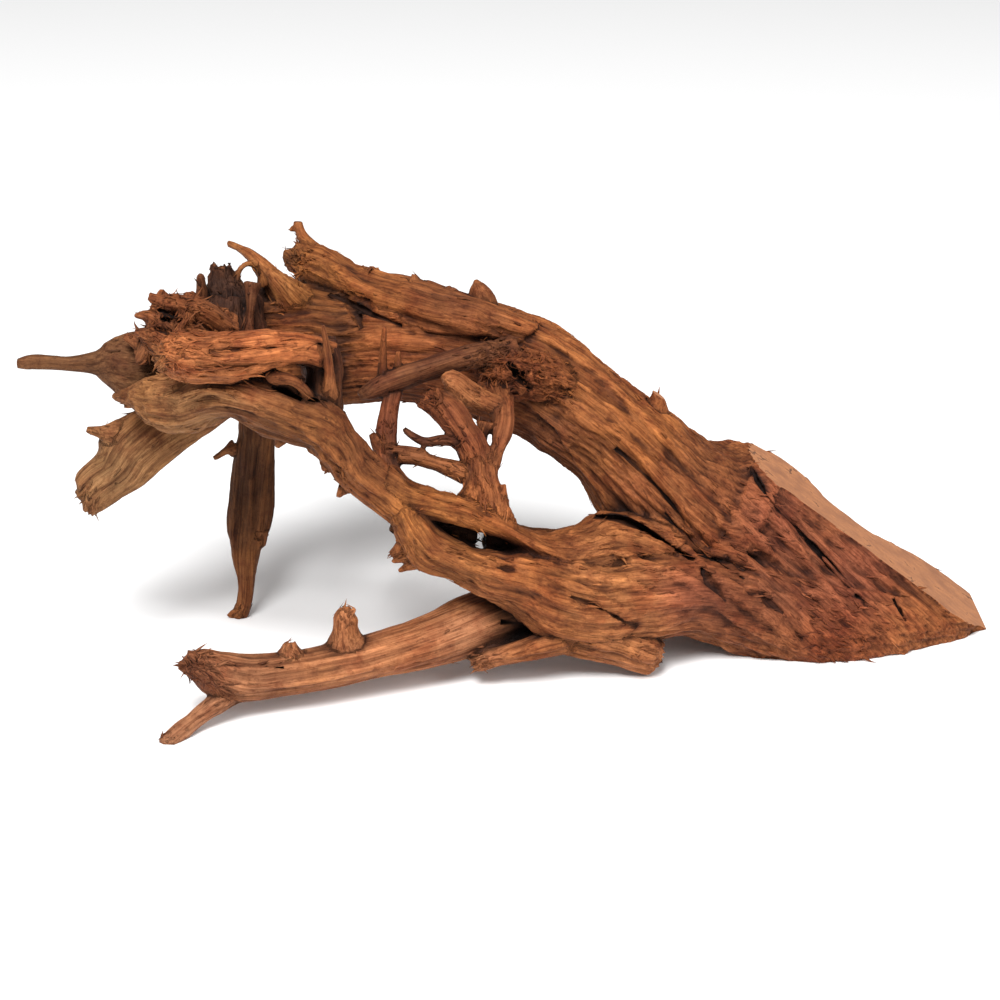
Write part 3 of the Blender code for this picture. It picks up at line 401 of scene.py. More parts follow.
grown("crown_strut", CROWN_STRUT, 0.4, 121)
grown("crown_ring", CROWN_RING, 0.2, 122)
grown("small_horn", SMALL_HORN, 0.4, 123)
grown("flake", FLAKE, 0.3, 124)

# The thin dark stub in the arch, and the crusted knot of dead root hair that it grew from.
THIN_STUB = [
    (512, 336, 516, 372, 30, 20), (470, 345, 475, 368, 16, 17), (430, 357, 433, 379, 8, 16),
    (395, 368, 398, 391, 0, 16), (373, 379, 373, 399, -4, 14), (359, 391, 362, 399, -6, 6),
]
CRUSTED_KNOT = [
    (476, 354, 480, 384, 24, 22), (498, 342, 502, 392, 24, 32), (526, 347, 522, 396, 26, 34),
    (552, 356, 547, 398, 30, 30), (574, 372, 564, 398, 36, 20),
]
grown("thin_stub", THIN_STUB, 0.8, 125, 0.8)
grown("crusted_knot", CRUSTED_KNOT, 2.4, 126, 1.3)

# The twigs: thin roots that climb from the front limb to the underside of the trunk and grew into
# each other where they cross.
TWIG_STEM = [
    (446, 502, 520, 526, -50, 22), (460, 492, 510, 508, -47, 18), (466, 478, 499, 484, -42, 15),
    (466, 460, 495, 464, -36, 13),
]
LEFT_FORK = [
    (466, 474, 494, 464, -38, 13), (460, 454, 487, 442, -32, 12), (448, 434, 474, 424, -27, 11),
    (436, 419, 464, 406, -22, 11), (425, 410, 452, 394, -18, 10), (417, 405, 440, 390, -16, 7),
]
RIGHT_FORK = [
    (476, 474, 498, 472, -36, 12), (488, 450, 506, 448, -28, 11), (493, 430, 514, 428, -18, 12),
    (492, 412, 516, 411, -6, 12), (485, 396, 512, 398, 8, 12), (482, 378, 510, 378, 26, 14),
]
PALE_STUB = [
    (441, 376, 446, 388, -16, 8), (452, 370, 452, 396, -14, 12), (470, 380, 463, 407, -10, 12),
    (486, 391, 478, 411, -6, 11), (506, 400, 496, 416, -2, 10),
]
LEFT_ARM = [
    (388, 380, 406, 384, 4, 11), (381, 402, 401, 402, -8, 10), (378, 420, 399, 420, -16, 10),
    (376, 438, 399, 438, -24, 11), (377, 455, 398, 455, -32, 11), (384, 472, 402, 469, -40, 12),
    (395, 488, 412, 479, -48, 14), (412, 502, 430, 486, -52, 15),
]
ARM_BUMP = [
    (380, 458, 389, 452, -31, 8), (372, 448, 382, 440, -29, 6), (370, 436, 375, 434, -28, 4),
]
UPPER_CROSSPIECE = [
    (480, 438, 480, 452, -31, 9), (460, 435, 461, 447, -30, 9), (440, 435, 441, 446, -30, 8),
    (425, 437, 425, 447, -30, 8), (413, 431, 411, 440, -30, 7), (405, 426, 404, 434, -30, 6),
]
LOWER_CROSSPIECE = [
    (486, 472, 474, 492, -40, 12), (462, 463, 455, 480, -39, 10), (441, 458, 437, 470, -38, 9),
    (421, 453, 418, 465, -37, 9), (402, 452, 400, 463, -36, 8),
]
LINK = [
    (382, 446, 382, 458, -29, 9), (402, 446, 402, 456, -32, 8), (426, 450, 424, 461, -37, 8),
]
grown("twig_stem", TWIG_STEM, 1.0, 127, 1.3)
grown("left_fork", LEFT_FORK, 0.6, 128, 1.5)
grown("right_fork", RIGHT_FORK, 0.6, 129, 1.5)
grown("pale_stub", PALE_STUB, 0.6, 130)
grown("left_arm", LEFT_ARM, 0.7, 131, 1.4)
grown("arm_bump", ARM_BUMP, 0.3, 132)
grown("upper_crosspiece", UPPER_CROSSPIECE, 0.4, 133)
grown("lower_crosspiece", LOWER_CROSSPIECE, 0.5, 134)
grown("link", LINK, 0.4, 135)

# The hidden side: roots that swell the trunk's back, and the brace of wood between the front knot and
# the trunk.
BACK_ROOTS = [
    [
        (690, 500, 660, 560, 62, 40), (720, 520, 690, 576, 78, 34), (770, 540, 745, 590, 84, 28),
        (820, 560, 800, 596, 78, 20), (862, 566, 850, 590, 66, 12),
    ],
    [
        (560, 360, 540, 400, 82, 30), (610, 392, 590, 430, 84, 30), (660, 430, 640, 470, 82, 26),
        (700, 460, 684, 492, 78, 16),
    ],
]
BRACE = [
    (302, 356, 334, 356, -44, 26), (304, 362, 336, 362, -8, 26), (306, 368, 340, 368, 26, 28),
    (306, 372, 342, 372, 58, 30),
]
grown("brace", BRACE, 2.0, 136)
grown_set("back_root", BACK_ROOTS, 2.0, 300)

# Knobs and thorns: the stumps of rootlets that broke off short.
KNOBS = [
    [
        (322, 650, 366, 642, -74, 24), (332, 632, 358, 630, -74, 18), (332, 617, 358, 618, -74, 15),
        (338, 610, 350, 611, -74, 8),
    ],
    [(272, 662, 312, 660, -86, 24), (280, 650, 302, 650, -84, 14), (285, 644, 296, 645, -83, 7)],
    [(470, 300, 502, 312, 70, 18), (472, 288, 492, 292, 70, 12), (475, 283, 484, 286, 70, 6)],
    [(640, 406, 668, 424, 40, 14), (652, 396, 664, 400, 38, 7), (653, 385, 656, 386, 37, 3)],
    [(838, 520, 856, 530, 58, 12), (840, 512, 850, 515, 60, 5)],
    [(922, 572, 940, 582, 66, 10), (928, 564, 934, 566, 67, 4)],
    [(232, 440, 234, 456, 58, 10), (226, 447, 228, 453, 55, 7), (213, 457, 215, 460, 52, 3)],
    [(254, 530, 268, 530, 50, 8), (256, 546, 265, 547, 50, 5)],
    [(124, 418, 110, 446, -8, 12), (104, 426, 100, 438, -10, 8), (88, 427, 89, 433, -10, 4)],
    [(146, 336, 136, 350, -16, 10), (128, 334, 124, 340, -14, 4)],
    [(148, 392, 132, 400, -20, 14), (126, 404, 120, 408, -22, 4)],
    [(156, 416, 142, 424, -20, 14), (134, 430, 128, 432, -20, 5)],
    [
        (266, 370, 274, 384, -76, 8), (288, 374, 290, 384, -82, 7), (304, 384, 302, 392, -80, 7),
        (314, 396, 306, 402, -72, 8),
    ],
    [(377, 374, 387, 374, 0, 8), (380, 352, 386, 352, 0, 6), (383, 328, 386, 328, -2, 4)],
    [(393, 372, 402, 372, 4, 8), (397, 352, 400, 352, 4, 4)],
    [(476, 420, 496, 424, -18, 8), (478, 432, 488, 434, -20, 7), (481, 444, 486, 444, -22, 5)],
    [(322, 452, 334, 466, -61, 10), (323, 470, 327, 470, -60, 3)],
    [(341, 478, 354, 492, -59, 10), (336, 496, 341, 497, -58, 3)],
    [(368, 500, 386, 512, -56, 10), (376, 513, 381, 513, -56, 3)],
    [(276, 432, 288, 442, -59, 8), (275, 447, 279, 448, -58, 3)],
    [(404, 536, 406, 552, -58, 12), (390, 552, 392, 556, -56, 3)],
    [(410, 548, 414, 562, -58, 12), (392, 560, 394, 563, -57, 3)],
    [(414, 556, 424, 568, -58, 12), (398, 570, 401, 572, -57, 3)],
    [(494, 502, 510, 506, -46, 8), (500, 494, 507, 496, -46, 5), (503, 485, 505, 485, -46, 2.5)],
    [
        (320, 396, 338, 396, -66, 8), (325, 372, 333, 372, -72, 4), (324, 348, 329, 348, -74, 3),
        (322, 326, 324, 326, -72, 2),
    ],
    [(358, 280, 388, 284, 98, 12), (366, 269, 378, 271, 98, 7)],
    [(404, 290, 430, 294, 80, 12), (410, 280, 422, 281, 80, 6), (412, 275, 416, 275, 80, 3)],
    [(438, 296, 466, 300, 74, 12), (447, 289, 456, 290, 74, 5)],
    [(250, 262, 262, 262, 50, 6), (248, 246, 250, 246, 46, 2.5)],
    [(287, 266, 302, 276, 130, 12), (285, 254, 291, 258, 130, 6)],
]
grown_set("knob", KNOBS, 0.3, 350)

# Strands that stand out of the seen wood: width in pixels, height in mm, and the line of pixels. They
# are the hard grain that stayed when the soft wood wore away.
DEPTH_STEP = 22 * MM
THIN_END = 0.35
STRAND_SINK = 0.3
STRANDS = [
    (
        15, 4.0,
        [(560, 408), (586, 421), (617, 434), (648, 465), (675, 496), (706, 531), (737, 558), (790, 589)],
    ),
    (12, 3.0, [(640, 438), (675, 478), (710, 509), (737, 536), (768, 556), (804, 576)]),
    (
        16, 4.0,
        [(573, 478), (604, 508), (648, 518), (675, 544), (710, 575), (746, 602), (781, 628), (806, 650)],
    ),
    (14, 3.5, [(600, 545), (648, 566), (675, 576), (701, 590), (728, 611), (762, 632), (792, 652)]),
    (13, 3.5, [(760, 502), (772, 518), (794, 544), (812, 572), (838, 604), (872, 630)]),
    (12, 3.0, [(780, 506), (812, 534), (843, 567), (872, 590), (904, 616)]),
    (10, 2.5, [(820, 526), (851, 552), (887, 580), (927, 612), (948, 630)]),
    (14, 3.0, [(801, 580), (804, 614), (814, 645), (832, 660)]),
    (13, 3.0, [(690, 470), (722, 500), (752, 536), (784, 566)]),
    (12, 3.0, [(324, 272), (348, 293), (383, 307), (410, 324), (432, 342)]),
    (14, 4.0, [(314, 252), (341, 272), (369, 292), (400, 305), (434, 314), (471, 328), (500, 336)]),
    (12, 3.0, [(365, 284), (400, 292), (434, 302), (471, 308), (500, 320)]),
    (16, 3.0, [(350, 346), (372, 342), (392, 340), (420, 344), (450, 342)]),
    (14, 3.0, [(350, 372), (390, 366), (430, 378), (470, 392)]),
    (14, 3.5, [(499, 318), (533, 334), (570, 355), (598, 374), (626, 404), (660, 440), (690, 462)]),
    (11, 3.0, [(560, 378), (590, 396), (622, 420), (652, 448)]),
    (13, 3.0, [(530, 404), (560, 430), (585, 464), (602, 492)]),
    (
        13, 3.0,
        [(135, 394), (170, 396), (215, 391), (258, 404), (300, 425), (332, 452), (362, 480), (400, 508)],
    ),
    (10, 2.5, [(185, 414), (222, 404), (270, 418), (310, 442), (338, 474)]),
    (10, 2.5, [(345, 428), (374, 460), (404, 488), (440, 504), (490, 520), (540, 548), (590, 566)]),
    (13, 3.0, [(404, 534), (432, 552), (470, 566), (522, 582), (580, 612), (630, 648)]),
    (11, 3.0, [(446, 548), (492, 562), (540, 576), (600, 598), (646, 622)]),
    (11, 2.5, [(548, 560), (592, 574), (640, 590), (680, 612)]),
    (9, 2.0, [(212, 668), (270, 670), (330, 662), (390, 648), (450, 630)]),
    (9, 2.0, [(216, 686), (290, 684), (360, 670), (430, 654)]),
    (10, 2.5, [(165, 346), (220, 342), (280, 341), (322, 343)]),
    (10, 2.5, [(165, 362), (220, 360), (280, 354), (316, 356)]),
    (9, 2.0, [(186, 376), (236, 373), (288, 360)]),
    (9, 2.0, [(206, 416), (156, 438), (116, 474), (92, 502)]),
    (8, 2.0, [(168, 414), (126, 440), (104, 470)]),
    (8, 2.0, [(250, 430), (252, 480), (250, 530), (246, 580)]),
]


def seen_skin(objects):
    """All the limbs' surfaces in one tree, to find what the photograph sees along a ray."""
    points, faces = [], []
    for item in objects:
        first = len(points)
        points += [v.co.copy() for v in item.data.vertices]
        faces += [[first + i for i in face.vertices] for face in item.data.polygons]
    return BVHTree.FromPolygons(points, faces)


def traced_sections(line, width, deep, sink):
    """Sections along a line of pixels, laid on the seen surface and thinned towards both ends. Where the
    surface steps to another limb the line breaks, and its longest run is kept."""
    made = []
    for i, (px, py) in enumerate(line):
        ray = ray_through(px, py).normalized()
        point = skin.ray_cast(EYE, ray)[0]
        if point is None:
            continue
        before, after = line[max(i - 1, 0)], line[min(i + 1, len(line) - 1)]
        run = Vector((after[0] - before[0], before[1] - after[1])).normalized()
        slim = THIN_END if i in (0, len(line) - 1) else 1.0
        across = RIGHT * run.y - UP * run.x
        row = (*(point + ray * sink), width * slim * pixel_at(point) / 2, deep * slim, *across)
        if made and abs(made[-1][-1][1] - row[1]) < DEPTH_STEP:
            made[-1].append(row)
        else:
            made.append([row])
    return max(made, key=len)


skin = seen_skin(limbs)
for i, (width, height, line) in enumerate(STRANDS):
    rows = traced_sections(line, width, height * MM, STRAND_SINK * height * MM)
    if len(rows) > 1:
        limbs.append(limb(f"strand_{i}", rows, 0.0, 400 + i, 0.0))

# Torn ends: each fans out in short pointed splinters. The middle, depth, bearing, spread, count and
# length of each fan.
FRAYS = [
    (163, 358, -82, 188, 45, 9, 10), (196, 664, -108, 176, 50, 9, 9), (478, 661, -60, 190, 40, 5, 6),
    (298, 256, 128, 170, 50, 7, 8), (221, 274, 52, 90, 50, 6, 7), (86, 495, -17, 215, 40, 6, 6),
    (490, 364, 0, 100, 120, 12, 10), (538, 372, 0, 60, 120, 8, 9), (434, 399, -18, 150, 60, 6, 9),
    (346, 614, -74, 80, 50, 4, 6), (240, 612, 44, 250, 40, 4, 7),
]
SPLINTER_TURN = 0.3
SPLINTER_SHIFT = 2
SPLINTER_LENGTH = (0.7, 1.25)
SPLINTER_WIDTH = (2.6, 4.2)
SPLINTER_THICK = 5.0
# Where the stations of a splinter lie, as shares of its length, and how wide it is at each.
SPLINTER_SHAPE = ((-0.8, 1.3), (0.2, 1.0), (1.0, 0.35))
# How far a fan reaches to its sides and in depth, as shares of its scatter.
FAN_SCATTER, FAN_SIDE, FAN_DEPTH = 0.9, 0.8, 0.65


def splinters(number, fray):
    """The short pointed fibres of one torn end, fanned out by rule with seeded scatter."""
    px, py, back, bearing, spread, count, length = fray
    rng = np.random.default_rng(700 + number)
    scatter = length * FAN_SCATTER
    middle = math.radians(bearing)

    def shift():
        return rng.uniform(-SPLINTER_SHIFT, SPLINTER_SHIFT)

    for i in range(count):
        side = (i + 0.5) / count * 2 - 1
        angle = math.radians(bearing + spread * (side + rng.uniform(-SPLINTER_TURN, SPLINTER_TURN)))
        x = px - math.sin(middle) * side * scatter * FAN_SIDE + shift()
        y = py - math.cos(middle) * side * scatter * FAN_SIDE + shift()
        depth = back + rng.uniform(-0.5, 0.5) * scatter * FAN_DEPTH
        reach = length * rng.uniform(*SPLINTER_LENGTH)
        way = Vector((math.cos(angle), -math.sin(angle)))
        wide = rng.uniform(*SPLINTER_WIDTH)
        stations = []
        for share, slim in SPLINTER_SHAPE:
            cx, cy = x + way.x * reach * share, y + way.y * reach * share
            stations.append((cx - way.y * wide * slim, cy + way.x * wide * slim,
                             cx + way.y * wide * slim, cy - way.x * wide * slim,
                             depth + shift() * share, SPLINTER_THICK * slim))
        grown(f"splinter_{number}_{i}", stations, 0.3, 900 + 20 * number + i)


for number, fray in enumerate(FRAYS):
    splinters(number, fray)

# Cracks and hollows, sunk along lines of the seen wood: width in pixels, depth in mm, and the line.
# They opened as the wood dried and the soft parts rotted out.
CRACKS = [
    (7, 16.0, [(594, 516), (620, 518), (640, 526), (660, 539), (692, 559)]),
    (4, 4.5, [(750, 466), (767, 497), (797, 530), (830, 562), (854, 588)]),
    (15, 4.0, [(698, 564), (710, 582), (726, 602)]),
    (13, 3.5, [(758, 588), (770, 602), (784, 614)]),
    (3, 3.0, [(664, 512), (690, 540), (716, 562), (744, 580)]),
    (3, 3.0, [(776, 500), (806, 540), (840, 580), (868, 606)]),
    (3, 3.0, [(616, 448), (640, 470), (668, 500), (690, 528)]),
    (7, 8.0, [(893, 598), (899, 610), (906, 622)]),
    (5, 6.0, [(724, 553), (730, 558)]),
    (12, 15.0, [(509, 362), (520, 376), (531, 391)]),
    (10, 16.0, [(272, 386), (285, 391), (302, 400)]),
    (16, 16.0, [(309, 399), (328, 403)]),
    (9, 6.0, [(304, 349), (322, 344)]),
    (18, 20.0, [(500, 622), (524, 624)]),
    (9, 14.0, [(160, 318), (181, 321)]),
    (6, 4.0, [(330, 293), (350, 303), (372, 314), (402, 326)]),
    (10, 5.0, [(346, 303), (356, 315), (361, 328)]),
    (3, 2.5, [(210, 352), (250, 349), (296, 348)]),
    (3, 2.5, [(196, 368), (236, 366), (276, 360)]),
    (3, 2.5, [(570, 596), (600, 608), (636, 628)]),
    (4, 1.2, [(226, 664), (250, 668), (284, 668)]),
]
crack_cutters = []
for i, (width, depth, line) in enumerate(CRACKS):
    rows = traced_sections(line, width, depth * MM, 0.0)
    if len(rows) > 1:
        crack_cutters.append(limb(f"crack_{i}", rows, 0.0, 0, 0.0))

# One skin: the wood grew as one piece, so all of it is fused, and its joints are eased.
VOXEL = 1.0 * MM
TRIANGLES = 194000


def settle(item):
    """Makes the modifiers' result the object's own mesh."""
    bpy.context.view_layer.update()
    graph = bpy.context.evaluated_depsgraph_get()
    mesh = bpy.data.meshes.new_from_object(item.evaluated_get(graph))
    item.modifiers.clear()
    item.data = mesh


def vectors_of(items, key):
    """One vector of every vertex or face, as rows of an array."""
    flat = np.empty(len(items) * 3, np.float32)
    items.foreach_get(key, flat)
    return flat.reshape(-1, 3).astype(float)


driftwood = limbs[0]
with bpy.context.temp_override(active_object=driftwood, selected_editable_objects=limbs):
    bpy.ops.object.join()
driftwood.name = "bare_driftwood"
fuse = driftwood.modifiers.new("one_skin", "REMESH")
fuse.mode = "VOXEL"
fuse.voxel_size = VOXEL
ease = driftwood.modifiers.new("eased_joints", "SMOOTH")
ease.factor = 0.5
ease.iterations = 2
settle(driftwood)

crack_set = bpy.data.collections.new("crack_cutters")
bpy.context.scene.collection.children.link(crack_set)
for cutter in crack_cutters:
    bpy.context.scene.collection.objects.unlink(cutter)
    crack_set.objects.link(cutter)
sunk = driftwood.modifiers.new("cracks_and_hollows", "BOOLEAN")
sunk.operation = "DIFFERENCE"
sunk.solver = "MANIFOLD"
sunk.operand_type = "COLLECTION"
sunk.collection = crack_set
settle(driftwood)
for cutter in crack_cutters:
    bpy.data.objects.remove(cutter)

# The saw cut: one pass of a coarse saw took the root off its stump, and left a flat face of end grain
# from the top of the base to its right tip. The feet were worn flat where the piece stands.
WIDTH, DEPTH, HEIGHT = 0.635, 0.279, 0.254
SAW_LINE = ((768, 488, 0), (965, 623, 3))
OFF_CUT = (0.6, 0.6, 0.3)
saw_start, saw_stop = (place(px, py, back * MM) for px, py, back in SAW_LINE)
saw_run = Vector((saw_stop.x - saw_start.x, 0.0, saw_stop.z - saw_start.z)).normalized()
saw_out = Vector((-saw_run.z, 0.0, saw_run.x))


def block(name, size, middle, out):
    """A box of the given size whose own up direction is out."""
    turn = Vector((0.0, 0.0, 1.0)).rotation_difference(out)
    square = ((-0.5, -0.5), (0.5, -0.5), (0.5, 0.5), (-0.5, 0.5))
    wide, deep, high = size
    ends = (-0.5, 0.5)
    rings = [[middle + turn @ Vector((x * wide, y * deep, z * high)) for x, y in square] for z in ends]
    return closed_loft(name, rings)


def trim(wood, name, operation, cutter):
    """Cuts the wood with a block, which is used up."""
    made = wood.modifiers.new(name, "BOOLEAN")
    made.operation = operation
    made.solver = "MANIFOLD"
    made.object = cutter
    settle(wood)
    bpy.data.objects.remove(cutter)


def past_cut(points):
    """How far each point lies beyond the saw cut."""
    return (points - np.array(saw_start)) @ np.array(saw_out)


off_cut = block("off_cut", OFF_CUT, (saw_start + saw_stop) / 2 + saw_out * OFF_CUT[2] / 2, saw_out)
trim(driftwood, "saw_cut", "DIFFERENCE", off_cut)
stock = block("stock", (WIDTH, DEPTH, HEIGHT), Vector((0.0, 0.0, HEIGHT / 2)), Vector((0.0, 0.0, 1.0)))
trim(driftwood, "stock_size", "INTERSECT", stock)

# The grain: ridges, ledges and fibres that follow each limb's own length. Water and wear took the soft
# wood from between them, and whole layers flaked off. Every point of the skin takes its place along,
# across and into the limb whose surface lies nearest.
GRAIN_BENDS = ((3.2 * MM, 38 * MM, 3), (1.1 * MM, 13 * MM, 4))
RIDGE_WIDTH, RIDGE_LENGTH, RIDGE_HEIGHT = 12 * MM, 150 * MM, 1.35 * MM
CREASE_WIDTH, CREASE_LENGTH, CREASE_DEPTH = 4.6 * MM, 110 * MM, 0.72 * MM
FIBRE_WIDTH, FIBRE_LENGTH, FIBRE_HEIGHT = 2.3 * MM, 45 * MM, 0.42 * MM
CREASE_SOFTNESS, CREASE_LEVEL = 0.006, 0.7
LEDGE_WIDTH, LEDGE_LENGTH, LEDGE_HEIGHT = 16 * MM, 150 * MM, 0.42 * MM
LEDGE_STEPS, LEDGE_FLAT, LEDGE_RISE = 2.2, 0.78, 0.22
LEDGE_RAGGED, LEDGE_RAG_SIZE = 0.5, 9 * MM
LUMP_SIZE, LUMP_HEIGHT = 19 * MM, 1.3 * MM
BUMP_SIZE, BUMP_HEIGHT = 7.5 * MM, 0.6 * MM
PIT_WIDTH, PIT_LENGTH, PIT_DEPTH = 4 * MM, 14 * MM, 0.9 * MM
PIT_FROM, PIT_STEEPNESS = 0.68, 4
# Places in the photograph's frame, with their reach in pixels: torn wood that is crusted with curled
# fibres, and wood that is rubbed smooth.
CRUST_SIZE, CRUST_HEIGHT, CRUST_COVERS = 3.6 * MM, 1.7 * MM, 0.6
CRUSTS = [(496, 358, 20), (538, 372, 20), (516, 384, 16), (558, 392, 12), (168, 322, 18), (190, 664, 10),
          (302, 268, 15)]
WORN = [(306, 306, 34), (395, 352, 44), (450, 330, 34), (600, 480, 30), (340, 650, 50), (690, 590, 26)]
WORN_AWAY = 0.55
# The base's own grain runs down to the right. It starts at this column of the frame, further right lower
# down, and comes in over a band of pixels.
BASE_GRAIN_SLOPE = math.radians(42)
BASE_GRAIN_FROM, BASE_GRAIN_TOP, BASE_GRAIN_LEAN, BASE_GRAIN_BAND = 700, 440, 0.28, 40
FULL_RELIEF_AT = 11 * MM
LEAST_RELIEF = 0.30
SEED_SHIFT = 0.37
VOTES = 12
VOTE_REACH = 3.0 * MM
FLAT_WITHIN = 0.02 * MM

ring_points = np.concatenate([spine["rings"].reshape(-1, 3) for spine in spines])
ring_spine = np.concatenate([np.full(spine["rings"].size // 3, i) for i, spine in enumerate(spines)])
ring_station = np.concatenate([
    np.repeat(np.arange(len(spine["rings"])), spine["rings"].shape[1]) for spine in spines])
station_start = np.cumsum([0] + [len(spine["middle"]) for spine in spines])
spine_middle, spine_axes, spine_along, spine_small = (
    np.concatenate([spine[part] for spine in spines]) for part in ("middle", "axes", "along", "small"))
spine_seed, spine_coarse = (np.array([spine[part] for spine in spines]) for part in ("seed", "coarse"))
skin_tree = KDTree(len(ring_points))
for i, point in enumerate(ring_points.tolist()):
    skin_tree.insert(point, i)
skin_tree.balance()


def grain_of(points):
    """Across, into and along the limb that holds most of the skin round each point, that limb's length as a
    direction, how strong its relief is, and the limb's number."""
    near = np.array([
        [(index, far) for _, index, far in skin_tree.find_n(point, VOTES)] for point in points.tolist()])
    index = near[:, :, 0].astype(np.int64)
    vote = np.exp(-(near[:, :, 1] / VOTE_REACH) ** 2)
    owner = ring_spine[index]
    score = np.stack([(vote * (owner == owner[:, i:i + 1])).sum(axis=1) for i in range(VOTES)], axis=1)
    nearest = index[np.arange(len(points)), score.argmax(axis=1)]
    limb_of = ring_spine[nearest]
    station = station_start[limb_of] + ring_station[nearest]
    local = np.einsum("nij,nj->ni", spine_axes[station], points - spine_middle[station])
    local[:, 2] += spine_along[station] + SEED_SHIFT * spine_seed[limb_of]
    strong = np.clip(spine_small[station] / FULL_RELIEF_AT, LEAST_RELIEF, 1.0) * spine_coarse[limb_of]
    return local, spine_axes[station][:, 2], strong, limb_of


def lattice_noise(points, seed):
    """Smooth noise from -1 to 1, one bump to each unit of the points' space."""
    cell = np.floor(points).astype(np.int64)
    t = points - cell
    t = t * t * t * (t * (t * 6 - 15) + 10)
    total = np.zeros(len(points))
    for corner in np.ndindex(2, 2, 2):
        at = cell + corner
        mixed = (at[:, 0] * 73856093) ^ (at[:, 1] * 19349663) ^ (at[:, 2] * 83492791) ^ (seed * 2654435761)
        mixed = ((mixed ^ (mixed >> 13)) * 1274126177) & 0x7FFFFFFF
        value = ((mixed ^ (mixed >> 16)) & 0xFFFF) / 32767.5 - 1
        total += value * np.prod(np.where(corner, t, 1 - t), axis=1)
    return total


def along_grain(grain, width, length, seed):
    """Smooth noise drawn out along the grain."""
    return lattice_noise(grain / (width, width, length), seed)


def creased(noise):
    """Round crests with a narrow crease wherever the noise passes through zero."""
    return 2 * np.sqrt(noise ** 2 + CREASE_SOFTNESS) - CREASE_LEVEL


def seen_at(points):
    """The pixel of the photograph's frame that each point falls on."""
    step = points - np.array(EYE)
    scale = VIEW_DISTANCE / PIXEL / (step @ np.array(AHEAD))
    return FRAME_MIDDLE + step @ np.array(RIGHT) * scale, FRAME_MIDDLE - step @ np.array(UP) * scale


def spots_at(points, spots):
    """How much each point lies in the seen spots: their pixel and their reach in pixels."""
    px, py = seen_at(points)
    near = sum(np.exp(-((px - x) ** 2 + (py - y) ** 2) / reach ** 2) for x, y, reach in spots)
    return np.clip(near, 0, 1)


def in_the_base(points):
    """How far each point belongs to the base, from 0 to 1."""
    px, py = seen_at(points)
    inside = px - BASE_GRAIN_FROM - BASE_GRAIN_LEAN * (py - BASE_GRAIN_TOP)
    return np.clip(inside / BASE_GRAIN_BAND, 0, 1)


def base_grain(points):
    """Across, into and along the base, whose fibres all run down to the right on one slope."""
    lean, drop = math.cos(BASE_GRAIN_SLOPE), math.sin(BASE_GRAIN_SLOPE)
    axes = np.array([RIGHT * drop + UP * lean, AHEAD, RIGHT * lean - UP * drop])
    return (points - np.array(AIM)) @ axes.T


def grain_relief(points, grain):
    """The height of the ridges, creases, fibres, ledges and pits that run along the grain."""
    bend = sum(far * lattice_noise(points / size, seed) for far, size, seed in GRAIN_BENDS)
    wavy = grain + np.stack([bend, -bend, np.zeros(len(bend))], axis=1)
    relief = RIDGE_HEIGHT * creased(along_grain(wavy, RIDGE_WIDTH, RIDGE_LENGTH, 12))
    relief += CREASE_DEPTH * creased(along_grain(wavy, CREASE_WIDTH, CREASE_LENGTH, 13))
    relief += FIBRE_HEIGHT * creased(along_grain(wavy, FIBRE_WIDTH, FIBRE_LENGTH, 11))
    level = LEDGE_STEPS * along_grain(wavy, LEDGE_WIDTH, LEDGE_LENGTH, 17)
    level += LEDGE_RAGGED * lattice_noise(points / LEDGE_RAG_SIZE, 18)
    ledge = np.floor(level)
    relief += LEDGE_HEIGHT * (ledge + np.clip((level - ledge - LEDGE_FLAT) / LEDGE_RISE, 0, 1))
    pits = np.clip(PIT_STEEPNESS * (along_grain(wavy, PIT_WIDTH, PIT_LENGTH, 16) - PIT_FROM), 0, 1)
    return relief - PIT_DEPTH * pits


points, normals = (vectors_of(driftwood.data.vertices, key) for key in ("co", "normal"))
grain, _, strong, _ = grain_of(points)
based = in_the_base(points)
relief = grain_relief(points, grain) * (1 - based) + grain_relief(points, base_grain(points)) * based
relief += LUMP_HEIGHT * lattice_noise(points / LUMP_SIZE, 15)
relief += BUMP_HEIGHT * lattice_noise(points / BUMP_SIZE, 19)
relief *= strong
crust, worn = spots_at(points, CRUSTS), spots_at(points, WORN)
relief *= 1 - WORN_AWAY * worn
curls = creased(lattice_noise(points / CRUST_SIZE, 21))
curls += 0.5 * creased(lattice_noise(points / CRUST_SIZE * 2, 22))
relief = relief * (1 - CRUST_COVERS * crust) + CRUST_HEIGHT * curls * crust
lifted = points + normals * relief[:, None]
# The cut face and the feet stay flat: nothing leaves their planes or passes them.
past = past_cut(lifted)
past = np.where(np.abs(past_cut(points)) < FLAT_WITHIN, past, np.maximum(past, 0))
lifted -= past[:, None] * np.array(saw_out)
lifted[points[:, 2] < FLAT_WITHIN, 2] = 0.0
lifted = np.clip(lifted, [-WIDTH / 2, -DEPTH / 2, 0.0], [WIDTH / 2, DEPTH / 2, HEIGHT])
driftwood.data.vertices.foreach_set("co", lifted.astype(np.float32).ravel())
driftwood.data.update()

facets = driftwood.modifiers.new("fewer_facets", "DECIMATE")
driftwood.data.calc_loop_triangles()
facets.ratio = min(1.0, TRIANGLES / len(driftwood.data.loop_triangles))
settle(driftwood)


def drop_crumbs(mesh):
    """Keeps the one connected body and drops what came loose."""
    shape = bmesh.new()
    shape.from_mesh(mesh)
    left = set(shape.verts)
    bodies = []
    while left:
        body = {left.pop()}
        rim = list(body)
        while rim:
            near = {e.other_vert(v) for v in rim for e in v.link_edges} & left
            left -= near
            body |= near
            rim = list(near)
        bodies.append(body)
    bodies.sort(key=len)
    for crumb in bodies[:-1]:
        bmesh.ops.delete(shape, geom=list(crumb), context="VERTS")
    shape.to_mesh(mesh)
    shape.free()


drop_crumbs(driftwood.data)
driftwood.data.shade_smooth()

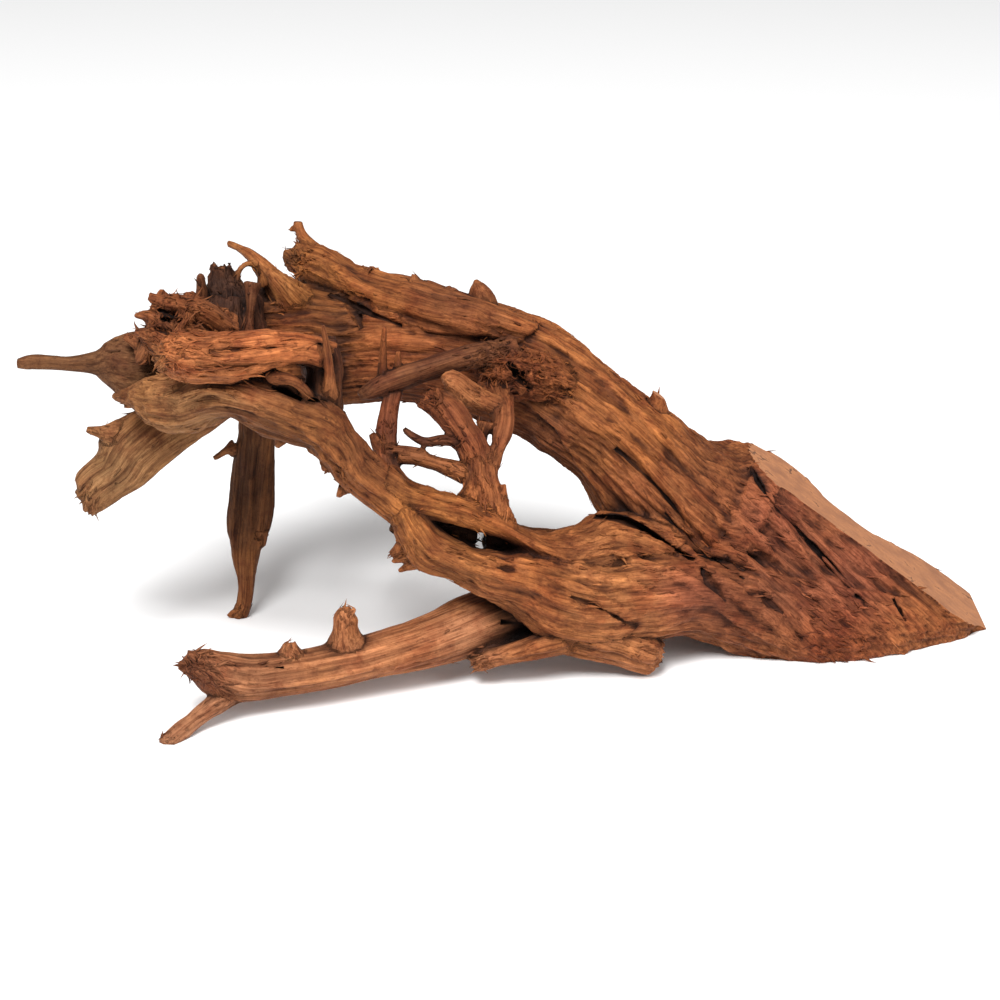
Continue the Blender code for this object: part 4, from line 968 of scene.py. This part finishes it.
# The wood's colours: a place in the photograph's frame, how far the colour reaches in pixels,
# and the colour there, the dry surface's own or, where marked, painted shade. Between them the wood is a
# plain reddish brown.
PLAIN_BROWN = "7a4725"
PLAIN_WEIGHT = 0.30
TONE_ROUNDS = 6
PATCHES = [
    (640, 440, 44, "92562a"), (596, 400, 40, "865028"), (690, 470, 30, "6b3d22"), (560, 350, 44, "8c532a"),
    (620, 380, 30, "7a4625"), (450, 300, 50, "60361c"), (380, 280, 40, "814c27"), (400, 350, 36, "a05a2e"),
    # (556, 440) is painted shade on the trunk's underside.
    (470, 355, 30, "874a26"), (556, 440, 40, "58301c"), (600, 485, 34, "724321"), (650, 500, 36, "814c27"),
    (710, 530, 40, "7d4727"), (770, 520, 36, "783f2c"), (780, 590, 44, "734029"), (860, 580, 44, "7e4430"),
    (910, 615, 34, "8c522c"), (840, 635, 34, "74381c"), (680, 592, 24, "8a4834"), (716, 602, 22, "5b2d1e"),
    (635, 495, 24, "7a422c"), (620, 590, 50, "9a6138"), (640, 655, 28, "8d5836"), (530, 580, 44, "874e27"),
    (450, 555, 36, "84522b"), (430, 500, 36, "905829"), (490, 520, 22, "955629"), (370, 470, 36, "764623"),
    (300, 425, 44, "724522"), (200, 400, 50, "8a6844"), (150, 412, 30, "714722"), (110, 470, 50, "785a3a"),
    # (250, 460) and (250, 500) are painted shade: the crown's shade on the hanging root.
    (250, 460, 44, "2c190c"), (250, 500, 36, "361f10"), (244, 575, 40, "8a5730"), (244, 602, 22, "a8693c"),
    (225, 350, 54, "a25e32"), (290, 345, 24, "935227"), (322, 350, 20, "462614"), (175, 312, 36, "74411f"),
    (236, 305, 30, "321e15"), (215, 280, 20, "694225"), (265, 262, 22, "87562b"), (305, 306, 30, "784922"),
    # (350, 320) is painted shade in the undercut below the spur.
    (350, 320, 20, "492815"), (320, 268, 30, "855127"), (372, 295, 24, "995d2e"), (60, 362, 40, "593922"),
    # (410, 374) is painted shade under the trunk.
    (120, 365, 32, "492d1a"), (410, 374, 34, "542d19"), (500, 358, 24, "794221"), (545, 372, 26, "824c26"),
    (440, 440, 44, "623319"), (482, 480, 28, "894f27"), (390, 440, 34, "4c2615"), (340, 655, 60, "9c6643"),
    (250, 675, 40, "8e5f42"), (196, 668, 20, "58301e"), (470, 630, 30, "946446"), (180, 727, 30, "8c6044"),
    # These eight patches are near-black painted shade inside the deep hollows and cracks.
    (288, 393, 13, "120a06"), (318, 400, 12, "120a06"), (512, 622, 13, "0f0905"), (712, 586, 14, "3f2015"),
    (291, 257, 8, "1e120c"), (772, 603, 12, "46261a"), (170, 320, 10, "1d110a"), (520, 376, 10, "1d110a"),
]

# Limbs with a tone of their own, or of painted shade, by the start of their names, and how far it holds
# against the patches.
LIMB_TONES = [
    # hanging_root's dark tone is painted shade from the crown above it.
    ("dark_block", "2a1710", 0.85), ("hanging_root", "42250f", 0.55), ("thin_stub", "50301d", 0.80),
    ("crusted_knot", "6e3a1f", 0.50), ("crown_strut", "4a2b1c", 0.70), ("crown_horn", "51301e", 0.70),
    # brace's dark tone is painted shade between the knot and the trunk.
    ("stub_knot", "35190e", 0.75), ("brace", "2c160c", 0.85), ("stub_log", "9c5a32", 0.60),
    ("left_fork", "63341d", 0.60), ("right_fork", "6b3c22", 0.60), ("left_arm", "63301b", 0.60),
    ("twig_stem", "824c2c", 0.50), ("pale_stub", "96603a", 0.60), ("upper_crosspiece", "4e2c1c", 0.70),
    ("lower_crosspiece", "6e4226", 0.60), ("link", "6a3f26", 0.60), ("left_spike", "583921", 0.70),
    # slot_back's near-black tone is painted shade in the slot.
    ("crown_blade", "8a5930", 0.50), ("lump", "6a3c22", 0.50), ("slot_back", "160c07", 0.90),
    ("foot_twig", "8c5f42", 0.60), ("flake", "a06c40", 0.60), ("knob", "7a4828", 0.40),
]


def linear(code):
    """One sRGB hex colour as linear red, green and blue."""
    shares = [int(code[i:i + 2], 16) / 255 for i in (0, 2, 4)]
    return [c / 12.92 if c <= 0.04045 else ((c + 0.055) / 1.055) ** 2.4 for c in shares]


def store(mesh, name, kind, key, values, domain="POINT"):
    """Keeps values on the mesh for its material to read."""
    attribute = mesh.attributes.new(name, kind, domain)
    attribute.data.foreach_set(key, np.asarray(values, np.float32).ravel())


def patch_colours(points):
    """The wood's colour at each point, blended between the patches, some of which are painted shade."""
    px, py = seen_at(points)
    total = np.full(len(points), PLAIN_WEIGHT)
    colour = total[:, None] * np.array(linear(PLAIN_BROWN))
    for x, y, reach, code in PATCHES:
        weight = np.exp(-((px - x) ** 2 + (py - y) ** 2) / reach ** 2)
        total += weight
        colour += weight[:, None] * np.array(linear(code))
    return colour / total[:, None]


def limb_tones(colour, limb_of):
    """The colours with each limb's tone laid over them; some of these tones are painted shade."""
    plain = ("", PLAIN_BROWN, 0.0)
    rows = [next((row for row in LIMB_TONES if spine["name"].startswith(row[0])), plain) for spine in spines]
    own = np.array([linear(code) for _, code, _ in rows])[limb_of]
    share = np.array([holds for _, _, holds in rows])[limb_of][:, None]
    return colour * (1 - share) + own * share


def smoothed(mesh, values, rounds):
    """Values averaged over each vertex's neighbours, a number of times."""
    pairs = np.empty(len(mesh.edges) * 2, np.int32)
    mesh.edges.foreach_get("vertices", pairs)
    a, b = pairs.reshape(-1, 2).T
    size = len(values)
    count = np.maximum(np.bincount(a, minlength=size) + np.bincount(b, minlength=size), 1)
    for _ in range(rounds):
        sums = [np.bincount(a, row[b], size) + np.bincount(b, row[a], size) for row in values.T]
        values = np.stack(sums, axis=1) / count[:, None]
    return values


# Painted shade: darker in hollows under the smoothed skin, and in clefts that other wood shuts in.
HOLLOW_ROUNDS, HOLLOW_DEPTH = 14, 1.6 * MM
CLEFT_ROUNDS, CLEFT_REACH, CLEFT_RAYS = 3, 28 * MM, 12
GOLDEN_TURN = math.pi * (3 - math.sqrt(5))


def hollowness(mesh, points, normals):
    """From -1 on a crest to 1 in a hollow: how far each point lies under its smoothed surroundings."""
    under = ((smoothed(mesh, points, HOLLOW_ROUNDS) - points) * normals).sum(axis=1)
    return np.clip(under / HOLLOW_DEPTH, -1, 1)


def shut_in(tree, points, normals):
    """From 0 in the open to 1 deep in a cleft: how near other wood lies in all directions."""
    turns = np.arange(CLEFT_RAYS) * GOLDEN_TURN
    rise = (np.arange(CLEFT_RAYS) + 0.5) / CLEFT_RAYS
    flat = np.sqrt(1 - rise ** 2)
    ways = np.stack([flat * np.cos(turns), flat * np.sin(turns), rise], axis=1)
    shut = np.zeros(len(points))
    starts = [Vector(p) for p in (points + 0.5 * MM * normals).tolist()]
    for way in ways:
        facing = normals @ way
        aimed = np.where(facing[:, None] < 0, -way, way).tolist()
        far = [tree.ray_cast(start, aim, CLEFT_REACH)[3] for start, aim in zip(starts, aimed)]
        near = np.array([0.0 if f is None else 1 - f / CLEFT_REACH for f in far])
        shut += near * np.abs(facing)
    return shut * 2 / CLEFT_RAYS


wood_mesh = driftwood.data
points, normals = (vectors_of(wood_mesh.vertices, key) for key in ("co", "normal"))
grain, _, _, limb_of = grain_of(points)
# Each facet takes its grain whole, from its limb or from the base, so that no streak is squeezed between.
corner_point = np.array([loop.vertex_index for loop in wood_mesh.loops])
first_corner = [face.loop_start for face in wood_mesh.polygons]
facet_in_base = np.maximum.reduceat(in_the_base(points)[corner_point], first_corner) > 0.5
corner_in_base = np.repeat(facet_in_base, [face.loop_total for face in wood_mesh.polygons])
corner_grain = np.where(corner_in_base[:, None], base_grain(points)[corner_point], grain[corner_point])
hollow = hollowness(wood_mesh, points, normals)
corners = [v.co.copy() for v in wood_mesh.vertices]
seen_wood = BVHTree.FromPolygons(corners, [list(face.vertices) for face in wood_mesh.polygons])
# shut_in carries the painted shade of the clefts to the material.
shut = smoothed(wood_mesh, shut_in(seen_wood, points, normals)[:, None], CLEFT_ROUNDS)
tone = smoothed(wood_mesh, limb_tones(patch_colours(points), limb_of), TONE_ROUNDS)
store(wood_mesh, "grain", "FLOAT_VECTOR", "vector", corner_grain, "CORNER")
store(wood_mesh, "tone", "FLOAT_COLOR", "color", np.column_stack([tone, np.ones(len(tone))]))
store(wood_mesh, "hollow", "FLOAT", "value", hollow)
store(wood_mesh, "shut_in", "FLOAT", "value", shut)


def add_node(nodes, kind, inputs=None, **settings):
    """One node with its settings. inputs gives each socket a value or another node's output."""
    made = nodes.new(kind)
    for name, value in settings.items():
        setattr(made, name, value)
    for socket, value in (inputs or {}).items():
        if isinstance(value, bpy.types.NodeSocket):
            made.id_data.links.new(value, made.inputs[socket])
        else:
            made.inputs[socket].default_value = value
    return made


def coated(nodes, colour, coats, blend_type):
    """A colour with coats over it: what places each, where it starts and is full, its cover and colour."""
    for source, start, full, cover, code in coats:
        sockets = {"Value": source, "From Min": start, "From Max": full, "To Min": 0.0, "To Max": cover}
        share = add_node(nodes, "ShaderNodeMapRange", sockets).outputs[0]
        sockets = {0: share, 6: colour, 7: (*linear(code), 1.0)}
        mixed = add_node(nodes, "ShaderNodeMix", sockets, data_type="RGBA", blend_type=blend_type)
        colour = mixed.outputs[2]
    return colour


def finish_surface(material, colour, bump, roughness):
    """Joins a material's colour and bump to its shader, as a dull dry wood."""
    shader = material.node_tree.nodes["Principled BSDF"]
    material.node_tree.links.new(colour, shader.inputs["Base Color"])
    material.node_tree.links.new(bump, shader.inputs["Normal"])
    if isinstance(roughness, bpy.types.NodeSocket):
        material.node_tree.links.new(roughness, shader.inputs["Roughness"])
    else:
        shader.inputs["Roughness"].default_value = roughness
    shader.inputs["IOR"].default_value = WOOD_IOR
    return shader


# Washed root wood: dense hardwood that lay in water and dried in the sun. It is dull, streaked along its
# fibres, darkened nearly to black with painted shade in its hollows and clefts, and paler where its crests
# are rubbed.
WOOD_IOR = 1.5
ROOT_WOOD_SPECULAR = 0.2
ROOT_WOOD_BUMP = 0.9
root_wood = bpy.data.materials.new("washed_root_wood")
root_wood.use_nodes = True
nodes = root_wood.node_tree.nodes
grain_at = add_node(nodes, "ShaderNodeAttribute", attribute_name="grain").outputs["Vector"]
hollow_at = add_node(nodes, "ShaderNodeAttribute", attribute_name="hollow").outputs["Fac"]
shut_at = add_node(nodes, "ShaderNodeAttribute", attribute_name="shut_in").outputs["Fac"]
place_at = add_node(nodes, "ShaderNodeTexCoord").outputs["Object"]
# Each pattern's source, its width and length in mm, its detail and its roughness. Real fibres are 0.02 mm
# wide, so the finest streaks are drawn far coarser, at about a pixel.
PATTERNS = {
    "fibre": (grain_at, 0.8, 30, 3.0, 0.6), "streak": (grain_at, 2.0, 70, 3.0, 0.6),
    "band": (grain_at, 6.0, 130, 3.0, 0.55), "speck": (grain_at, 1.3, 3.2, 2.0, 0.6),
    "grit": (place_at, 1.6, 1.6, 4.0, 0.7), "stain": (place_at, 22, 22, 4.0, 0.65),
    "mottle": (place_at, 7, 7, 4.0, 0.65),
}
pattern = {}
for name, (source, width, length, detail, rough) in PATTERNS.items():
    scale = (1 / (width * MM), 1 / (width * MM), 1 / (length * MM))
    spread = add_node(nodes, "ShaderNodeMapping", {"Vector": source, "Scale": scale}).outputs[0]
    sockets = {"Vector": spread, "Scale": 1.0, "Detail": detail, "Roughness": rough}
    pattern[name] = add_node(nodes, "ShaderNodeTexNoise", sockets).outputs["Fac"]
# A coat darker than bcbcbc deepens the tone under it, and a lighter one bleaches it.
ROOT_WOOD_COATS = [
    (pattern["stain"], 0.50, 0.66, 0.60, "987c70"), (pattern["stain"], 0.46, 0.34, 0.50, "d2d4cc"),
    (pattern["band"], 0.50, 0.68, 0.65, "8e7e76"), (pattern["band"], 0.48, 0.32, 0.60, "d8dadc"),
    (pattern["mottle"], 0.52, 0.68, 0.65, "8e7e76"), (pattern["mottle"], 0.46, 0.32, 0.50, "d4d6d8"),
    (pattern["streak"], 0.50, 0.64, 0.70, "7a6a62"), (pattern["streak"], 0.46, 0.32, 0.60, "dcdee0"),
    (pattern["fibre"], 0.50, 0.68, 0.60, "7a6a62"), (pattern["fibre"], 0.48, 0.32, 0.60, "dcdee0"),
    # The hollow coats: paler on rubbed crests, and painted shade darkening the creases.
    (hollow_at, -0.10, -0.75, 0.65, "e2e2e2"), (hollow_at, 0.15, 0.90, 0.75, "54463d"),
    # The shut_in coat is painted shade in clefts that other wood shuts in.
    (shut_at, 0.12, 0.55, 0.95, "342822"), (pattern["speck"], 0.64, 0.74, 0.55, "5a4a40"),
    (pattern["grit"], 0.56, 0.70, 0.50, "7a6a60"),
]
tone_at = add_node(nodes, "ShaderNodeAttribute", attribute_name="tone").outputs["Color"]
# How deep each pattern is in the surface, in mm. The dark lines of the grain are low and the grit is high.
ROOT_WOOD_DEPTHS = {"band": 0.9, "mottle": 0.9, "streak": 0.8, "fibre": 0.5, "grit": 0.35}
bump = None
for height, far in ROOT_WOOD_DEPTHS.items():
    sockets = {"Strength": ROOT_WOOD_BUMP, "Distance": far * MM, "Height": pattern[height]}
    if bump:
        sockets["Normal"] = bump
    bump = add_node(nodes, "ShaderNodeBump", sockets, invert=height != "grit").outputs[0]
sockets = {"Value": pattern["streak"], "From Min": 0.3, "From Max": 0.7, "To Min": 0.62, "To Max": 0.86}
dullness = add_node(nodes, "ShaderNodeMapRange", sockets).outputs[0]
shader = finish_surface(root_wood, coated(nodes, tone_at, ROOT_WOOD_COATS, "OVERLAY"), bump, dullness)
shader.inputs["Specular IOR Level"].default_value = ROOT_WOOD_SPECULAR

# Sawn end grain: the cut face of the same wood, flat and pale salmon, with cloudy stains, open pores, a
# few drying cracks and the marks of the saw, which are about 7.5 mm apart.
SAWN_COLOUR = "b6784c"
SAWN_ROUGHNESS = 0.8
SAW_MARK_SCALE = 42.0
CRACK_CELL = 9 * MM
sawn_wood = bpy.data.materials.new("sawn_end_grain")
sawn_wood.use_nodes = True
nodes = sawn_wood.node_tree.nodes
place_at = add_node(nodes, "ShaderNodeTexCoord").outputs["Object"]
sawn = {}
for name, (size, detail) in {"cloud": (15, 4.0), "blot": (4, 4.0), "pore": (0.9, 2.0)}.items():
    sockets = {"Vector": place_at, "Scale": 1 / (size * MM), "Detail": detail, "Roughness": 0.6}
    sawn[name] = add_node(nodes, "ShaderNodeTexNoise", sockets).outputs["Fac"]
sockets = {"Vector": place_at, "Scale": SAW_MARK_SCALE, "Distortion": 3.0, "Detail": 2.0}
sawn["saw_mark"] = add_node(nodes, "ShaderNodeTexWave", sockets, bands_direction="Y").outputs["Fac"]
sockets = {"Vector": place_at, "Scale": 1 / CRACK_CELL, "Randomness": 1.0}
cells = add_node(nodes, "ShaderNodeTexVoronoi", sockets, feature="DISTANCE_TO_EDGE").outputs["Distance"]
sockets = {0: cells, 1: sawn["cloud"]}
sawn["crack"] = add_node(nodes, "ShaderNodeMath", sockets, operation="ADD").outputs[0]
SAWN_COATS = [
    (sawn["cloud"], 0.42, 0.66, 0.85, "8f5b3c"), (sawn["blot"], 0.50, 0.70, 0.55, "a0694a"),
    (sawn["saw_mark"], 0.0, 1.0, 0.22, "96623f"), (sawn["pore"], 0.60, 0.74, 0.55, "5c3522"),
    (sawn["crack"], 0.44, 0.39, 0.80, "3a2014"),
]
colour = coated(nodes, (*linear(SAWN_COLOUR), 1.0), SAWN_COATS, "MIX")
sockets = {"Strength": 0.6, "Distance": 0.4 * MM, "Height": sawn["blot"]}
bump = add_node(nodes, "ShaderNodeBump", sockets).outputs[0]
finish_surface(sawn_wood, colour, bump, SAWN_ROUGHNESS)

wood_mesh.materials.clear()
wood_mesh.materials.append(root_wood)
wood_mesh.materials.append(sawn_wood)
SAWN_WITHIN = 0.15 * MM
SAWN_FACING = 0.98
face_points, face_normals = (vectors_of(wood_mesh.polygons, key) for key in ("center", "normal"))
on_cut = np.abs(past_cut(face_points)) < SAWN_WITHIN
on_cut &= face_normals @ np.array(saw_out) > SAWN_FACING
wood_mesh.polygons.foreach_set("material_index", on_cut.astype(np.int32))
wood_mesh.polygons.foreach_set("use_smooth", ~(on_cut | (face_points[:, 2] < SAWN_WITHIN)))
wood_mesh.update()

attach(driftwood, "root")
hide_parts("driftwood")

# Torn fibres: slivers of the same wood that stand up or lie loose where the wood was torn, thickest on
# the broken ends, the crusted knot and the ragged edges. Each is a thin, flat, curved splinter.
# A place in the photograph's frame, its reach in pixels, how many, how long in mm, how far they stand up.
SHAGGY = [
    (166, 360, 26, 110, 6, 0.5), (190, 345, 22, 50, 6, 0.3), (200, 668, 22, 110, 6, 0.5),
    (222, 690, 16, 40, 6, 0.4), (285, 650, 16, 30, 4, 0.2), (346, 618, 14, 50, 4, 0.3),
    (498, 360, 26, 240, 4, 0.8), (538, 372, 26, 200, 4, 0.8), (560, 392, 16, 60, 4, 0.7),
    (178, 312, 34, 170, 5, 0.6), (150, 330, 22, 80, 5, 0.6), (88, 498, 14, 40, 5, 0.5),
    (96, 434, 12, 30, 4, 0.5), (300, 262, 20, 80, 4, 0.5), (232, 278, 20, 60, 4, 0.5),
    (432, 402, 18, 60, 5, 0.6), (478, 660, 14, 50, 5, 0.6), (404, 552, 16, 50, 5, 0.4),
    (338, 480, 16, 40, 4, 0.5), (640, 655, 24, 50, 5, 0.4), (170, 735, 14, 30, 4, 0.5),
    (240, 610, 12, 30, 4, 0.5), (480, 395, 22, 60, 4, 0.6), (235, 350, 70, 200, 9, 0.12),
    (455, 460, 50, 200, 5, 0.4), (390, 430, 40, 100, 5, 0.4), (840, 640, 50, 140, 8, 0.4),
    (760, 540, 90, 160, 10, 0.08), (640, 560, 70, 120, 8, 0.12), (480, 530, 40, 90, 6, 0.3),
    (200, 655, 60, 50, 10, 0.15),
]
LOOSE_FIBRES = 1300
LOOSE_LENGTH = (3, 9)
LOOSE_STAND = (0.0, 0.15)
RAGGED_CREST = -0.25
CLEAR_OF_FLOOR = 0.2 * MM
FIBRE_VARIES = (0.4, 1.3)
FIBRE_RADIUS = (0.5, 1.3)
FIBRE_CURL = 0.6
FULL_RADIUS_FROM = 5 * MM
FIBRE_SHADES = (-0.6, 0.45)
# A fibre's rings, as shares of its length and width, and its sides, across and up.
FIBRE_RINGS = ((0.0, 1.0), (0.3, 0.95), (0.65, 0.6), (1.0, 0.06))
FIBRE_SIDES = ((1.0, 0.0), (0.0, 0.42), (-1.0, 0.0), (0.0, -0.42))
sides, rings = len(FIBRE_SIDES), len(FIBRE_RINGS)
rng = np.random.default_rng(41)
roots = []
for x, y, reach, count, length, stand in SHAGGY:
    for _ in range(count):
        ray = ray_through(x + reach * rng.normal() * 0.5, y + reach * rng.normal() * 0.5).normalized()
        hit, out = seen_wood.ray_cast(EYE, ray)[:2]
        if hit is not None and hit.z > 2 * MM:
            roots.append((hit, out, length * MM * rng.uniform(*FIBRE_VARIES), stand))
ragged = np.flatnonzero((hollow < RAGGED_CREST) & (points[:, 2] > 4 * MM))
for i in rng.choice(ragged, LOOSE_FIBRES, replace=False):
    length = rng.uniform(*LOOSE_LENGTH) * MM
    roots.append((Vector(points[i]), Vector(normals[i]), length, rng.uniform(*LOOSE_STAND)))
root_grain = grain_of(np.array([root for root, *_ in roots]))
fibre_points, fibre_faces, fibre_hollow = [], [], []
for (root, out, length, stand), lengthwise in zip(roots, root_grain[1]):
    along = Vector(lengthwise) * (1 if rng.random() < 0.5 else -1)
    along = (along - out * along.dot(out)).normalized()
    way = along + out * stand * rng.uniform(0.2, 1.4) + Vector(rng.uniform(-1, 1, 3)) * stand * 0.6
    way.normalize()
    curl = Vector(rng.uniform(-FIBRE_CURL, FIBRE_CURL, 3)) * (0.3 + stand)
    wide = way.cross(out).normalized()
    thick = wide.cross(way)
    radius = rng.uniform(*FIBRE_RADIUS) * MM * min(1.0, length / FULL_RADIUS_FROM)
    first = len(fibre_points)
    for share, slim in FIBRE_RINGS:
        middle = root - out * 0.35 * radius + way * length * share + curl * length * share * share
        for across, up in FIBRE_SIDES:
            fibre_points.append(middle + (wide * across + thick * up) * radius * slim)
    for ring in range(rings - 1):
        for i in range(sides):
            near, far = first + ring * sides + i, first + ring * sides + (i + 1) % sides
            fibre_faces.append((near, far, far + sides, near + sides))
    fibre_faces.append(tuple(range(first + sides - 1, first - 1, -1)))
    fibre_faces.append(tuple(range(first + (rings - 1) * sides, first + rings * sides)))
    fibre_hollow += [rng.uniform(*FIBRE_SHADES)] * (rings * sides)
lowest, highest = [-WIDTH / 2, -DEPTH / 2, CLEAR_OF_FLOOR], [WIDTH / 2, DEPTH / 2, HEIGHT]
fibre_at = np.clip(np.array(fibre_points), lowest, highest)
fibre_mesh = bpy.data.meshes.new("torn_fibres")
fibre_mesh.from_pydata(fibre_at.tolist(), [], fibre_faces)
fibre_mesh.shade_smooth()
torn_fibres = added("torn_fibres", fibre_mesh)
store(fibre_mesh, "grain", "FLOAT_VECTOR", "vector", np.repeat(root_grain[0], rings * sides, axis=0))
fibre_limb = np.repeat(root_grain[3], rings * sides)
fibre_tone = limb_tones(patch_colours(fibre_at), fibre_limb)
store(fibre_mesh, "tone", "FLOAT_COLOR", "color", np.column_stack([fibre_tone, np.ones(len(fibre_tone))]))
store(fibre_mesh, "hollow", "FLOAT", "value", fibre_hollow)
fibre_mesh.materials.append(root_wood)
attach(torn_fibres, "root")

# The studio: a plain pale floor under a soft white sky, a broad key light from above and in front, and a
# weaker one from the right. The lights' places are in metres and their powers in watts.
PAPER_WHITE = "fafafa"
FLOOR_REACH = 8.0
FLOOR_BELOW = 0.2 * MM
SKY_STRENGTH = 0.38
LIGHTS = (("key", (-1.0, -3.0, 4.8), 2.2, 420.0), ("fill", (3.6, -2.2, 2.6), 2.0, 60.0))
paper = bpy.data.materials.new("pale_paper")
paper.use_nodes = True
shader = paper.node_tree.nodes["Principled BSDF"]
shader.inputs["Base Color"].default_value = (*linear(PAPER_WHITE), 1.0)
shader.inputs["Roughness"].default_value = 0.9
floor_mesh = bpy.data.meshes.new("floor")
floor_corners = [(x * FLOOR_REACH, y * FLOOR_REACH, 0) for x, y in ((-1, -1), (1, -1), (1, 1), (-1, 1))]
floor_mesh.from_pydata(floor_corners, [], [(0, 1, 2, 3)])
floor_mesh.materials.append(paper)
floor = added("floor", floor_mesh)
floor.location.z = -FLOOR_BELOW
for name, at, size, power in LIGHTS:
    lamp = bpy.data.lights.new(name, "AREA")
    lamp.size = size
    lamp.energy = power
    aimed = Vector(at).to_track_quat("Z", "Y").to_matrix().to_4x4()
    added(name, lamp).matrix_world = Matrix.Translation(at) @ aimed
sky = bpy.data.worlds.new("soft_sky")
sky.use_nodes = True
sky_shader = sky.node_tree.nodes["Background"]
sky_shader.inputs["Color"].default_value = (1.0, 1.0, 1.0, 1.0)
sky_shader.inputs["Strength"].default_value = SKY_STRENGTH
bpy.context.scene.world = sky
bpy.context.scene.view_settings.view_transform = "Standard"
